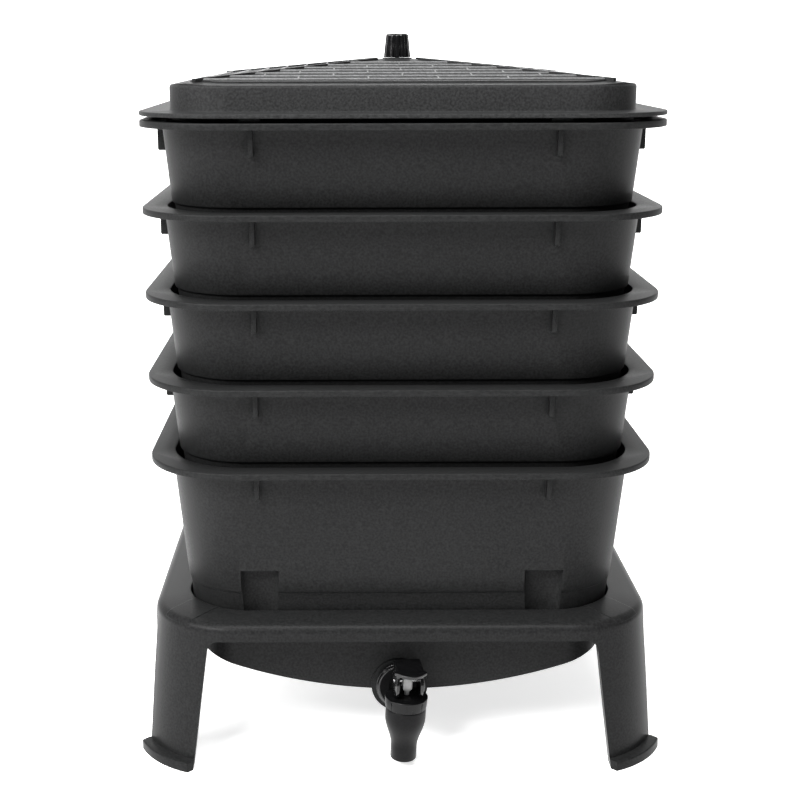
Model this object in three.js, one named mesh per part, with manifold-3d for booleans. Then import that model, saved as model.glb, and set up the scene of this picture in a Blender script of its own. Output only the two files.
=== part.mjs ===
// A stacking worm composter: nesting trays over a collector tank with a drain tap, on a four-legged stand.
// Millimetres, +Z up. The origin lies on the floor under the middle of the stand. The tap points along -Y.
import * as THREE from 'three';
import { mergeVertices } from 'three/addons/utils/BufferGeometryUtils.js';
import Module from 'manifold-3d';

const wasm = await Module();
wasm.setup();

// Cuts run this far past the faces that they open, and touching pieces keep this clearance.
const OVERRUN = 2;
const CLEARANCE = 0.3;

// The stack
const TRAY_COUNT = 4;
const TRAY_PITCH = 68.6;
const TRAY_HEIGHT = 157;
const TANK_RIM = 255.5;
const TOP_RIM = TANK_RIM + TRAY_COUNT * TRAY_PITCH;

// The rim that every tray and the tank share: a flat plate with a turned-down lip
const RIM_HALF = 210;
const RIM_CORNER = 74.5;
const RIM_PLATE = 2.6;
const RIM_LIP = 5.2;
const LIP_WALL = 2.4;
const RIM_EDGE = 0.9;

// The walls under the rims. Their corner arcs keep one centre line while the walls lean in.
const WALL = 2.6;
const RIM_REACH = 17;
const BODY_HALF = RIM_HALF - RIM_REACH;
const BODY_CORNER = 65;
const BODY_CENTRE = BODY_HALF - BODY_CORNER;
const WALL_LEAN_SHARE = 0.095;
const FOOT_CHAMFER = 3;

// Gusset ribs between rim and wall, two to a side
const RIB_INSET = 10;
const RIB_OFFSET = BODY_CENTRE - RIB_INSET;
const RIB_THICK = 4;
const RIB_WIDTH = 5.5;
const RIB_REACH = BODY_HALF + RIB_WIDTH;
const RIB_DROP = 25.8;
const RIB_CHAMFER = 1.5;

// Trays: a step in the wall, and half-round niches that stand inside as posts for the tray above
const TRAY_STEP_DEPTH = 65;
const TRAY_STEP_IN = 2.2;
const TRAY_FLOOR = 3;
const LEDGE_DEPTH = TRAY_HEIGHT - TRAY_PITCH + CLEARANCE;
const LEDGE_PLATE = 3;
const NICHE_HALF = 16;
const NICHE_DEPTH = 12.8;
const FLOOR_HOLE = 10;
const FLOOR_HOLE_PITCH = 78;
const FLOOR_HOLE_ROWS = 4;

// Tank: a shoulder that sits on the stand's ledge, then a bowl with an arched bottom that falls to the front
const TANK_STEP_DEPTH = 111;
const TANK_STEP_IN = 1.2;
const BOWL_INSET = 19.5;
const BOWL_HALF = BODY_HALF - BOWL_INSET;
const BOWL_LEAN = 2.5;
const BOWL_FOOT_HALF = BOWL_HALF - BOWL_LEAN;
const BOWL_CORNER = 33.5;
const BOWL_CENTRE = BOWL_HALF - BOWL_CORNER;
const BOWL_FLOOR = 51;
const BOWL_RADIUS = 440;
const BOWL_FALL = 9;

// Stand
const STAND_WALL = 3;
const STAND_TOP = 128;
const STAND_MOUTH_INSET = 11;
const STAND_MOUTH_HALF = BODY_HALF - STAND_MOUTH_INSET;
const STAND_MOUTH_CORNER = 56;
const STAND_MOUTH_CENTRE = STAND_MOUTH_HALF - STAND_MOUTH_CORNER;
const STAND_MOUTH_MARGIN = 2;
const STAND_TOP_HALF = STAND_MOUTH_HALF + STAND_MOUTH_MARGIN;
const STAND_TOP_CORNER = 45;
const LEG_CENTRE = STAND_TOP_HALF - STAND_TOP_CORNER;
const SHELF_REACH = 26.2;
const STAND_EDGE_HALF = STAND_TOP_HALF + SHELF_REACH;
const STAND_EDGE = 117.5;
const STAND_EDGE_ROUND = 8.2;
const LEG_SPLAY = 13;
const STAND_FLOOR_HALF = STAND_EDGE_HALF + LEG_SPLAY;
const ARCH_TOP = 111.7;
const LEG_WIDTH = 50;
const ARCH_TOP_HALF = STAND_EDGE_HALF - LEG_WIDTH;
const ARCH_SPLAY = 14.3;
const ARCH_FLOOR_HALF = ARCH_TOP_HALF + ARCH_SPLAY;
const ARCH_FILLET = 11;
const RETURN_WALL = 3;
const RETURN_DEPTH = 11;
const LEDGE_MARGIN = 1.1;
const LEDGE_HALF = BOWL_HALF + LEDGE_MARGIN;
const STIFFENER_OFFSET = 90;
const FOOT_REACH = 5.4;
const FOOT_HALF = STAND_FLOOR_HALF + FOOT_REACH;
const FOOT_CORNER = 82.6;
const FOOT_CENTRE = FOOT_HALF - FOOT_CORNER;
const FOOT_HEIGHT = 8;
const FOOT_INSET = 10.2;
const FOOT_INNER_HALF = STAND_FLOOR_HALF - FOOT_INSET;
const FOOT_EDGE = 1;
const FOOT_TIP = 6;

// Lid
const LID_GAP = 3.6;
const LID_FLANGE = 3.4;
const LID_WALL = 2.6;
const LID_SKIRT = 6;
const BAND_INSET = 7.5;
const BAND_HALF = BODY_HALF - BAND_INSET;
const BAND_CORNER = 51.5;
const BAND_CENTRE = BAND_HALF - BAND_CORNER;
const BAND_RISE = 27.1;
const BAND_TOP = TOP_RIM + BAND_RISE;
const BAND_EDGE = 1.4;
const ROOF_RISE = 17.9;
const ROOF_APEX = BAND_TOP + ROOF_RISE;
const PAD_RISE = 0.9;
const ROOF_PAD = ROOF_APEX + PAD_RISE;
const PANEL_INSET = 16.5;
const PANEL_HALF = BAND_HALF - PANEL_INSET;
const PANEL_RISE = 1.2;
const TILE_PITCH = 19.15;
const TILE_INSET = 9.2;
const TILE_FIRST = PANEL_HALF - TILE_INSET;
const TILE_ROWS = 8;
const GROOVE_WIDTH = 1.5;
const GROOVE_DEPTH = 0.9;
const SPACER_LENGTH = 16;
const SPACER_WIDTH = 8;
const SPACER_OUT = 5;
const SPACER_CENTRE = BODY_HALF + SPACER_OUT;

// Knob and its fixing
const KNOB_BASE_RADIUS = 11.7;
const KNOB_TOP_RADIUS = 9.9;
const KNOB_HEIGHT = 20.3;
const KNOB_ROUND = 2;
const KNOB_FLUTES = 12;
const KNOB_FLUTE_DEPTH = 0.8;
const SCREW_RADIUS = 2;
const SCREW_BITE = 13;
const SCREW_HEAD_RADIUS = 4.2;
const SCREW_HEAD_HEIGHT = 2.8;
const SCREW_SLOT = 1.1;
const WASHER_RADIUS = 7;
const WASHER_THICK = 1.2;
const BOSS_RADIUS = 13;
const BOSS_HEIGHT = 8;
const BOSS_HOLE_RADIUS = 2.6;

// Drain well and tap. The tap stands a few degrees out of square, and the well lies a little off its axis.
const TAP_AXIS = 56.5;
const WELL_RADIUS = 24;
const WELL_SHIFT = 1;
const WELL_FACE = BOWL_HALF;
const WELL_PLATE = 3.5;
const WELL_LENGTH = 34;
const SHANK_RADIUS = 10;
const SHANK_BORE_RADIUS = 6.5;
const SHANK_LENGTH = 24;
const SEAL_RADIUS = 17.5;
const SEAL_THICK = 2;
const NUT_RADIUS = 16.5;
const NUT_THICK = 8;
const NUT_SIDES = 6;
const TAP_FLANGE_RADIUS = 21;
const TAP_FLANGE_FACE_RADIUS = 19.5;
const TAP_FLANGE_THICK = 3.5;
const TAP_FLANGE_STEP = 1.8;
const TAP_TURN = THREE.MathUtils.degToRad(7);
const TAP_TILT = THREE.MathUtils.degToRad(2.5);
const BARREL_REACH = 27.6;
const CAP_TOP = 62.6;
const CAP_RADIUS = 17.9;
const CAP_HEIGHT = 9.6;
const CAP_CROWN = 1.2;
const CAP_CROWN_RADIUS = 14;
const CAP_EDGE = 0.6;
const CAP_DISC = 1.7;
const BARREL_RADIUS = 16.9;
const BARREL_NECK_RADIUS = 15.3;
const CHAMBER_RADIUS = 12.7;
const CHAMBER_FLOOR = 34.1;
const SEAT_THICK = 3;
const SEAT_BORE_RADIUS = 6.5;
const SPOUT_RADIUS = 10.95;
const SPOUT_BORE_RADIUS = 8.6;
const SPOUT_END = 6.2;
const SPOUT_EDGE = 1.2;
const OGEE_TOP = 44;
const OGEE_BOTTOM = 18;
const NECK_RADIUS = 6.2;
const NECK_BORE_RADIUS = 4.2;
const NECK_AXIS = 51.6;

// Stem, seat cup, spring and lever
const PIN_AXIS = 75.8;
const PIN_RADIUS = 1.5;
const PIN_RUNNING = 0.08;
const PIN_HALF_LENGTH = 11.7;
const STEM_RADIUS = 2;
const STEM_HEAD_WIDTH = 8;
const STEM_HEAD_DEPTH = 7;
const STEM_HEAD_BOTTOM = 66.4;
const STEM_HEAD_TOP = 79;
const STEM_CONE = 3;
const CUP_RADIUS = 9.5;
const CUP_HEIGHT = 6;
const CUP_SOCKET = 4;
const SPRING_RADIUS = 4.6;
const SPRING_WIRE = 0.55;
const SPRING_TURNS = 5;
const SPRING_TURN_STEPS = 8;
const CAM_OFFSET = 4;
const CHEEK_INNER = 8.7;
const CHEEK_THICK = 2.6;
const PADDLE_TOP = 92.6;
const PADDLE_SLOPE = THREE.MathUtils.degToRad(6);
const PADDLE_THICK = 2.6;
const PADDLE_REAR = 6;
const PADDLE_SHOULDER = 9;
const PADDLE_CORNER = 19;
const PADDLE_FRONT = 23.5;
const PADDLE_REAR_HALF = 10.5;
const PADDLE_FRONT_HALF = 13.5;
const PADDLE_LIP = 4.4;
const PADDLE_LIP_DEPTH = 2.2;

// Strainer on the tap's inlet, and the ladder dome on the tank's floor
const STRAINER_WALL = 1.6;
const STRAINER_LENGTH = 11;
const STRAINER_SLOT = 2;
const LADDER_RADIUS = 60;
const LADDER_HEIGHT = 36;
const LADDER_WALL = 2.4;
const LADDER_TOP_RADIUS = 22;
const LADDER_SLOTS = 8;
const LADDER_SLOT_WIDTH = 8;

// Faceting, in steps to a quarter turn or to a whole one
const CORNER_STEPS = 6;
const LEG_STEPS = 8;
const ARCH_STEPS = 10;
const NICHE_STEPS = 4;
const FILLET_STEPS = 3;
const TURN_STEPS = 24;
const SMALL_TURN_STEPS = 14;
const PIN_STEPS = 12;
const WIRE_STEPS = 3;
const OGEE_STEPS = 6;

const QUARTER = Math.PI / 2;
const SIDES = [0, 1, 2, 3];

// Solids from three.js geometry
function solid(geometry) {
  const bare = geometry.clone();
  bare.deleteAttribute('normal');
  bare.deleteAttribute('uv');
  const merged = mergeVertices(bare);
  const vertProperties = new Float32Array(merged.attributes.position.array);
  const triVerts = new Uint32Array(merged.index.array);
  return new wasm.Manifold(new wasm.Mesh({ numProp: 3, vertProperties, triVerts }));
}

function geometryOf(manifold) {
  const mesh = manifold.getMesh();
  const geometry = new THREE.BufferGeometry();
  geometry.setAttribute('position', new THREE.BufferAttribute(mesh.vertProperties, 3));
  geometry.setIndex(new THREE.BufferAttribute(mesh.triVerts, 1));
  geometry.computeVertexNormals();
  return geometry;
}

const joined = (pieces) => pieces.reduce((whole, piece) => whole.add(piece));

// One closed skin over a stack of rings with equal point counts, lowest first, each wound counter-clockwise
function stacked(rings) {
  const count = rings[0].length;
  const ends = [rings[0], rings[rings.length - 1]];
  const middleOf = (ring) => ring.reduce((sum, p) => sum.add(p), new THREE.Vector3()).divideScalar(count);
  const middles = ends.map(middleOf);
  const points = [...rings.flat(), ...middles];
  const index = [];
  const last = (rings.length - 1) * count;
  for (let i = 0; i < count; i += 1) {
    const next = (i + 1) % count;
    for (let level = 0; level < last; level += count) {
      index.push(level + i, level + next, level + count + next);
      index.push(level + i, level + count + next, level + count + i);
    }
    index.push(points.length - 2, next, i, points.length - 1, last + i, last + next);
  }
  const geometry = new THREE.BufferGeometry().setFromPoints(points);
  geometry.setIndex(index);
  return solid(geometry);
}

function squareRing({ half, corner, z, steps = CORNER_STEPS }) {
  const middle = half - corner;
  const points = [];
  for (const side of SIDES) {
    for (let step = 0; step <= steps; step += 1) {
      const angle = (side + step / steps) * QUARTER;
      const turn = (side + 0.5) * QUARTER;
      const x = Math.SQRT2 * middle * Math.cos(turn) + corner * Math.cos(angle);
      const y = Math.SQRT2 * middle * Math.sin(turn) + corner * Math.sin(angle);
      points.push(new THREE.Vector3(x, y, z));
    }
  }
  return points;
}

const loft = (sections) => stacked(sections.map(squareRing));
const body = (half, z) => ({ half, corner: half - BODY_CENTRE, z });
const leg = (half, z) => ({ half, corner: half - LEG_CENTRE, z, steps: LEG_STEPS });

// A shape drawn in X and Z, given a thickness along Y about y = middle
function slab(shape, thickness, middle = 0) {
  const options = { depth: thickness, bevelEnabled: false, curveSegments: FILLET_STEPS };
  const geometry = new THREE.ExtrudeGeometry(shape, options);
  return geometry.rotateX(QUARTER).translate(0, middle + thickness / 2, 0);
}

function outline(points) {
  return new THREE.Shape(points.map(([x, y]) => new THREE.Vector2(x, y)));
}

// A profile of radius and height turned about the Z axis
function turned(profile, steps = TURN_STEPS) {
  const points = profile.map(([radius, z]) => new THREE.Vector2(radius, z));
  return new THREE.LatheGeometry(points, steps).rotateX(QUARTER);
}

function rod(radius, low, high, steps = TURN_STEPS) {
  const geometry = new THREE.CylinderGeometry(radius, radius, high - low, steps);
  return geometry.rotateX(QUARTER).translate(0, 0, (low + high) / 2);
}

// A rod along Y, from the front to the back
function crossRod(radius, front, back, z, steps = TURN_STEPS, x = 0) {
  const geometry = new THREE.CylinderGeometry(radius, radius, back - front, steps);
  return geometry.translate(x, (front + back) / 2, z);
}

function box(low, high) {
  const size = high.map((value, axis) => value - low[axis]);
  const middle = high.map((value, axis) => (value + low[axis]) / 2);
  return new THREE.BoxGeometry(...size).translate(...middle);
}

// Copies of a geometry on the four sides of the object, with the given shifts along each side
function aroundSides(makeGeometry, shifts) {
  const copies = [];
  for (const side of SIDES) {
    for (const shift of shifts) {
      copies.push(solid(makeGeometry(shift).rotateZ(side * QUARTER)));
    }
  }
  return joined(copies);
}

// Rims, walls, ribs and niches, which trays and tank share
function rim(top) {
  const outer = (inset, z) => ({ half: RIM_HALF - inset, corner: RIM_CORNER - inset, z });
  const block = loft([outer(0, top - RIM_LIP), outer(0, top - RIM_EDGE), outer(RIM_EDGE, top)]);
  return block.subtract(loft([outer(LIP_WALL, top - RIM_LIP - OVERRUN), outer(LIP_WALL, top - RIM_PLATE)]));
}

const wallHalf = (depth) => BODY_HALF - WALL_LEAN_SHARE * depth;

function ribs(top) {
  const root = BODY_HALF - WALL / 2;
  const shape = outline([
    [root, top - RIM_PLATE / 2],
    [root - WALL_LEAN_SHARE * RIB_DROP, top - RIB_DROP],
    [RIB_REACH - RIB_CHAMFER, top - RIB_DROP],
    [RIB_REACH, top - RIB_DROP + RIB_CHAMFER],
    [RIB_REACH, top - RIM_PLATE / 2],
  ]);
  return aroundSides((shift) => slab(shape, RIB_THICK, shift), [-RIB_OFFSET, RIB_OFFSET]);
}

// Half-round columns that stand in the wall, their backs a given distance from the middle of the object
function niches(halfWidth, axis, back, low, high) {
  const shape = new THREE.Shape();
  shape.moveTo(-halfWidth, BODY_HALF + OVERRUN);
  shape.lineTo(-halfWidth, axis);
  shape.absellipse(0, axis, halfWidth, axis - back, Math.PI, 2 * Math.PI, false);
  shape.lineTo(halfWidth, BODY_HALF + OVERRUN);
  const options = { depth: high - low, bevelEnabled: false, curveSegments: NICHE_STEPS };
  const column = (shift) => new THREE.ExtrudeGeometry(shape, options).translate(shift, 0, low);
  return aroundSides(column, [-RIB_OFFSET, RIB_OFFSET]);
}

// Outer and inner skins of a wall with a step in it, from the foot up to the rim
function steppedWall(foot, top, stepDepth, stepIn, inset) {
  return [
    ...foot,
    body(wallHalf(stepDepth + stepIn) - stepIn - inset, top - stepDepth - stepIn),
    body(wallHalf(stepDepth) - inset, top - stepDepth),
  ];
}

function traySolid(top) {
  const floor = top - TRAY_HEIGHT;
  const foot = wallHalf(TRAY_HEIGHT) - TRAY_STEP_IN;
  const outerFoot = [body(foot - FOOT_CHAMFER, floor), body(foot, floor + FOOT_CHAMFER)];
  const innerFoot = [body(foot - WALL, floor + TRAY_FLOOR)];
  const outer = loft([
    ...steppedWall(outerFoot, top, TRAY_STEP_DEPTH, TRAY_STEP_IN, 0),
    body(BODY_HALF, top - RIM_PLATE / 2),
  ]);
  const inner = loft([
    ...steppedWall(innerFoot, top, TRAY_STEP_DEPTH, TRAY_STEP_IN, WALL),
    body(BODY_HALF - WALL, top + OVERRUN),
  ]);
  const ledge = top - LEDGE_DEPTH;
  const axis = wallHalf(LEDGE_DEPTH) - TRAY_STEP_IN;
  const back = axis - NICHE_DEPTH;
  const posts = niches(NICHE_HALF + WALL, axis, back - WALL, floor, ledge);
  const hollows = niches(NICHE_HALF, axis, back, floor - OVERRUN, ledge - LEDGE_PLATE);
  const shell = joined([outer, rim(top), ribs(top)]);
  return shell.subtract(inner.subtract(posts)).subtract(hollows).subtract(floorHoles(floor));
}

function floorHoles(floor) {
  const middle = (FLOOR_HOLE_ROWS - 1) / 2;
  const holes = [];
  for (let row = 0; row < FLOOR_HOLE_ROWS; row += 1) {
    for (let column = 0; column < FLOOR_HOLE_ROWS; column += 1) {
      const hole = new THREE.BoxGeometry(FLOOR_HOLE, FLOOR_HOLE, TRAY_FLOOR + 2 * OVERRUN);
      const x = (column - middle) * FLOOR_HOLE_PITCH;
      const y = (row - middle) * FLOOR_HOLE_PITCH;
      holes.push(solid(hole.translate(x, y, floor + TRAY_FLOOR / 2)));
    }
  }
  return joined(holes);
}

// The space above the bowl's arched bottom, which falls towards the front. A larger lift raises the arch.
function cradle(lift) {
  const half = BOWL_HALF + OVERRUN;
  const radius = BOWL_RADIUS - lift;
  const spread = Math.asin(half / radius);
  const shape = new THREE.Shape();
  const centre = BOWL_FLOOR + BOWL_RADIUS;
  shape.moveTo(half, STAND_TOP);
  shape.lineTo(-half, STAND_TOP);
  shape.absarc(0, centre, radius, -QUARTER - spread, -QUARTER + spread, false);
  const options = { depth: 2 * half, bevelEnabled: false, curveSegments: ARCH_STEPS };
  const geometry = new THREE.ExtrudeGeometry(shape, options).rotateX(QUARTER);
  geometry.translate(0, 2 * half, -BOWL_FLOOR);
  geometry.rotateX(Math.atan(BOWL_FALL / (2 * BOWL_HALF)));
  return solid(geometry.translate(0, -half, BOWL_FLOOR));
}

const SHOULDER = ARCH_TOP + STAND_WALL + CLEARANCE;

function tankSolid(top) {
  const depth = top - SHOULDER;
  const shoulderHalf = wallHalf(depth) - TANK_STEP_IN;
  const outerFoot = [body(shoulderHalf, SHOULDER)];
  const innerFoot = [body(shoulderHalf - WALL, SHOULDER + WALL)];
  const outer = loft([
    ...steppedWall(outerFoot, top, TANK_STEP_DEPTH, TANK_STEP_IN, 0),
    body(BODY_HALF, top - RIM_PLATE / 2),
  ]);
  const inner = loft([
    ...steppedWall(innerFoot, top, TANK_STEP_DEPTH, TANK_STEP_IN, WALL),
    body(BODY_HALF - WALL, top + OVERRUN),
  ]);
  const axis = wallHalf(LEDGE_DEPTH);
  const ledge = top - LEDGE_DEPTH;
  const posts = niches(NICHE_HALF + WALL, axis, BOWL_HALF - WALL, SHOULDER, ledge);
  const hollows = niches(NICHE_HALF, axis, BOWL_HALF, SHOULDER - OVERRUN, ledge - LEDGE_PLATE);
  const shell = joined([outer, bowl(0), well(0), rim(top), ribs(top)]);
  const reach = WELL_LENGTH / 2 - WELL_FACE;
  const hole = crossRod(SHANK_RADIUS + CLEARANCE, -WELL_FACE - OVERRUN, reach, TAP_AXIS);
  const hollow = joined([inner.subtract(posts), bowl(WALL), well(WALL), solid(hole)]);
  return shell.subtract(hollow).subtract(hollows);
}

// The drum that takes the tap, open to the bowl inside
function well(inset) {
  const front = inset ? WELL_PLATE - WELL_FACE : -WELL_FACE;
  const back = WELL_LENGTH - WELL_FACE - inset;
  return solid(crossRod(WELL_RADIUS - inset, front, back, TAP_AXIS - WELL_SHIFT, TURN_STEPS, -WELL_SHIFT));
}

function bowl(inset) {
  const level = (half, z) => ({ half: half - inset, corner: half - inset - BOWL_CENTRE, z });
  const top = SHOULDER + WALL + (inset ? OVERRUN : -WALL / 2);
  return loft([level(BOWL_FOOT_HALF, BOWL_FLOOR - OVERRUN), level(BOWL_HALF, top)]).intersect(cradle(inset));
}

// Stand: one moulded shell, open below, with an arch cut through each side
function standSkin(inset, floor) {
  const sections = [leg(STAND_FLOOR_HALF - inset, floor)];
  const radius = STAND_EDGE_ROUND - inset;
  for (let step = 0; step <= FILLET_STEPS; step += 1) {
    const angle = (step / FILLET_STEPS) * QUARTER;
    const half = STAND_EDGE_HALF - STAND_EDGE_ROUND + radius * Math.cos(angle);
    sections.push(leg(half, STAND_EDGE + radius * Math.sin(angle)));
  }
  sections.push(leg(STAND_TOP_HALF - inset, STAND_TOP - inset));
  return loft(sections);
}

function archShape(grow) {
  const floorHalf = ARCH_FLOOR_HALF + grow;
  const topHalf = ARCH_TOP_HALF + grow;
  const top = ARCH_TOP + grow;
  const lean = (floorHalf - topHalf) / top;
  const fillet = ARCH_FILLET;
  const shape = new THREE.Shape();
  shape.moveTo(-floorHalf - lean * OVERRUN, -OVERRUN);
  shape.lineTo(floorHalf + lean * OVERRUN, -OVERRUN);
  shape.lineTo(topHalf + lean * fillet, top - fillet);
  shape.quadraticCurveTo(topHalf, top, topHalf - fillet, top);
  shape.lineTo(fillet - topHalf, top);
  shape.quadraticCurveTo(-topHalf, top, -topHalf - lean * fillet, top - fillet);
  return shape;
}

function arches(grow) {
  const through = solid(slab(archShape(grow), 2 * (FOOT_HALF + OVERRUN)));
  return through.add(solid(slab(archShape(grow), 2 * (FOOT_HALF + OVERRUN)).rotateZ(QUARTER)));
}

// A straight-sided block that the stand's mouth is made with
function mouthBlock(half, centre, low, high) {
  const ring = (z) => ({ half, corner: half - centre, z });
  return loft([ring(low), ring(high)]);
}

function standSolid() {
  const skin = standSkin(0, 0);
  const open = arches(0);
  const shell = skin.subtract(standSkin(STAND_WALL, -OVERRUN)).subtract(open);
  const edgeBand = arches(RETURN_WALL).subtract(open);
  const core = loft([
    leg(STAND_FLOOR_HALF - RETURN_DEPTH, -OVERRUN),
    leg(STAND_EDGE_HALF - RETURN_DEPTH, STAND_EDGE),
    leg(STAND_EDGE_HALF - RETURN_DEPTH, STAND_TOP + OVERRUN),
  ]);
  const returns = skin.subtract(core).intersect(edgeBand);
  const high = STAND_TOP + OVERRUN;
  const collarTop = STAND_TOP - STAND_WALL / 2;
  const collar = mouthBlock(STAND_MOUTH_HALF + STAND_WALL, STAND_MOUTH_CENTRE, ARCH_TOP, collarTop);
  const mouth = mouthBlock(STAND_MOUTH_HALF, STAND_MOUTH_CENTRE, ARCH_TOP + STAND_WALL, high);
  const drop = mouthBlock(LEDGE_HALF, BOWL_CENTRE, ARCH_TOP - OVERRUN, high);
  const pads = footPads().subtract(open);
  return joined([shell, returns, collar, stiffeners(), pads]).subtract(mouth).subtract(drop);
}

// Flared pads round the feet. Wedges in front of each side take the sharp tips off their ends.
function footPads() {
  const foot = (half, z) => ({ half, corner: half - FOOT_CENTRE, z, steps: LEG_STEPS });
  const pads = loft([
    foot(FOOT_HALF, 0),
    foot(FOOT_HALF, FOOT_HEIGHT - FOOT_EDGE),
    foot(FOOT_HALF - FOOT_EDGE, FOOT_HEIGHT),
  ]);
  const hollow = loft([foot(FOOT_INNER_HALF, -OVERRUN), foot(FOOT_INNER_HALF, FOOT_HEIGHT + OVERRUN)]);
  const rise = Math.sqrt((FOOT_HALF - FOOT_CENTRE) ** 2 - (ARCH_FLOOR_HALF - FOOT_CENTRE) ** 2);
  const start = FOOT_CENTRE + rise - ARCH_FLOOR_HALF - FOOT_TIP;
  const shape = outline([[0, start], [FOOT_HALF, start + FOOT_HALF], [-FOOT_HALF, start + FOOT_HALF]]);
  const options = { depth: FOOT_HEIGHT + 2 * OVERRUN, bevelEnabled: false };
  const wedge = () => new THREE.ExtrudeGeometry(shape, options).translate(0, 0, -OVERRUN);
  return pads.subtract(hollow).subtract(aroundSides(wedge, [0]));
}

// Plates that tie the mouth's collar to the skirt
function stiffeners() {
  const top = STAND_TOP - STAND_WALL / 2;
  const shape = outline([
    [STAND_MOUTH_HALF + STAND_WALL / 2, ARCH_TOP],
    [STAND_EDGE_HALF - STAND_WALL / 2, ARCH_TOP],
    [STAND_EDGE_HALF - STAND_WALL / 2, STAND_EDGE],
    [STAND_TOP_HALF + STAND_WALL / 2, top - STAND_WALL / 2],
    [STAND_MOUTH_HALF + STAND_WALL / 2, top - STAND_WALL / 2],
  ]);
  return aroundSides((shift) => slab(shape, STAND_WALL, shift), [-STIFFENER_OFFSET, STIFFENER_OFFSET]);
}

// Lid: flange, band, and a low four-sided roof cut into courses of tiles
const LID_BOTTOM = TOP_RIM + LID_GAP;
const ROOF_HALF = BAND_HALF - BAND_EDGE;
const ROOF_SLOPE_SHARE = (ROOF_APEX - BAND_TOP) / ROOF_HALF;
const band = (half, z) => ({ half, corner: half - BAND_CENTRE, z });

// The part of a pyramid, raised from the roof's plane, that stands over a rounded square
function roofBlock(rise, half) {
  const height = ROOF_APEX - BAND_TOP + LID_WALL + Math.abs(rise);
  const radius = Math.SQRT2 * height / ROOF_SLOPE_SHARE;
  const cone = new THREE.ConeGeometry(radius, height, SIDES.length).rotateY(QUARTER / 2).rotateX(QUARTER);
  const pyramid = solid(cone.translate(0, 0, ROOF_APEX + rise - height / 2));
  return pyramid.intersect(loft([band(half, BAND_TOP - 2 * LID_WALL), band(half, ROOF_APEX + LID_WALL)]));
}

function courses() {
  const cuts = [];
  for (let row = 0; row < TILE_ROWS - 1; row += 1) {
    const half = TILE_FIRST - row * TILE_PITCH;
    const floor = ROOF_APEX + PANEL_RISE - ROOF_SLOPE_SHARE * half - GROOVE_DEPTH;
    const frame = (reach, margin) => {
      const top = ROOF_APEX + margin;
      return solid(box([-reach, -reach, floor - margin], [reach, reach, top]));
    };
    cuts.push(frame(half + GROOVE_WIDTH / 2, 0).subtract(frame(half - GROOVE_WIDTH / 2, OVERRUN)));
  }
  return joined(cuts);
}

function lidSolid() {
  const flange = (inset, z) => ({ half: RIM_HALF - inset, corner: RIM_CORNER - inset, z });
  const top = LID_BOTTOM + LID_FLANGE;
  const plate = loft([flange(0, LID_BOTTOM), flange(0, top - RIM_EDGE), flange(RIM_EDGE, top)]);
  const low = LID_BOTTOM - LID_GAP - LID_SKIRT;
  const skirt = loft([body(BAND_HALF, low), body(BAND_HALF, LID_BOTTOM + LID_FLANGE / 2)]);
  const walls = loft([
    band(BAND_HALF, LID_BOTTOM + LID_FLANGE / 2),
    band(BAND_HALF, BAND_TOP - BAND_EDGE),
    band(BAND_HALF - BAND_EDGE, BAND_TOP),
  ]);
  const roof = roofBlock(0, ROOF_HALF).add(roofBlock(PANEL_RISE, PANEL_HALF)).subtract(courses());
  const room = loft([
    body(BAND_HALF - LID_WALL, low - OVERRUN),
    body(BAND_HALF - LID_WALL, top),
    band(BAND_HALF - LID_WALL, top),
    band(BAND_HALF - LID_WALL, BAND_TOP - LID_WALL),
  ]);
  const attic = roofBlock(-LID_WALL, ROOF_HALF - LID_WALL);
  const boss = solid(rod(BOSS_RADIUS, ROOF_PAD - BOSS_HEIGHT, ROOF_PAD));
  const hole = rod(BOSS_HOLE_RADIUS, ROOF_PAD - BOSS_HEIGHT - OVERRUN, ROOF_PAD + OVERRUN, SMALL_TURN_STEPS);
  const shell = joined([plate, skirt, walls, roof]).subtract(room.add(attic));
  return joined([shell, boss, lidSpacers()]).subtract(solid(hole));
}

// Pads that hold the flange off the top tray's rim, so that air gets in
function lidSpacers() {
  const pad = (shift) => box(
    [shift - SPACER_LENGTH / 2, SPACER_CENTRE - SPACER_WIDTH / 2, TOP_RIM + CLEARANCE],
    [shift + SPACER_LENGTH / 2, SPACER_CENTRE + SPACER_WIDTH / 2, LID_BOTTOM + LID_FLANGE / 2],
  );
  return aroundSides(pad, [-RIB_OFFSET, RIB_OFFSET]);
}

// Knob: fluted, tapered, and held from below
const KNOB_SEAT = ROOF_PAD + CLEARANCE;

function flutedRing(radius, z) {
  const steps = KNOB_FLUTES * 4;
  const points = [];
  for (let step = 0; step < steps; step += 1) {
    const angle = (step / steps) * 2 * Math.PI;
    const reach = radius - KNOB_FLUTE_DEPTH * (1 - Math.cos(KNOB_FLUTES * angle)) / 2;
    points.push(new THREE.Vector3(reach * Math.cos(angle), reach * Math.sin(angle), z));
  }
  return points;
}

function knobSolid() {
  const top = KNOB_SEAT + KNOB_HEIGHT;
  const grip = stacked([
    flutedRing(KNOB_BASE_RADIUS, KNOB_SEAT),
    flutedRing(KNOB_TOP_RADIUS, top - KNOB_ROUND),
    flutedRing(KNOB_TOP_RADIUS - KNOB_ROUND / 3, top - KNOB_ROUND / 3),
    flutedRing(KNOB_TOP_RADIUS - KNOB_ROUND, top),
  ]);
  const deep = KNOB_SEAT + SCREW_BITE + CLEARANCE;
  const bore = rod(SCREW_RADIUS + PIN_RUNNING, KNOB_SEAT - OVERRUN, deep, SMALL_TURN_STEPS);
  return grip.subtract(solid(bore));
}

const BOSS_FACE = ROOF_PAD - BOSS_HEIGHT;
const WASHER_LOW = BOSS_FACE - CLEARANCE - WASHER_THICK;
const HEAD_TOP = WASHER_LOW - CLEARANCE;

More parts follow.
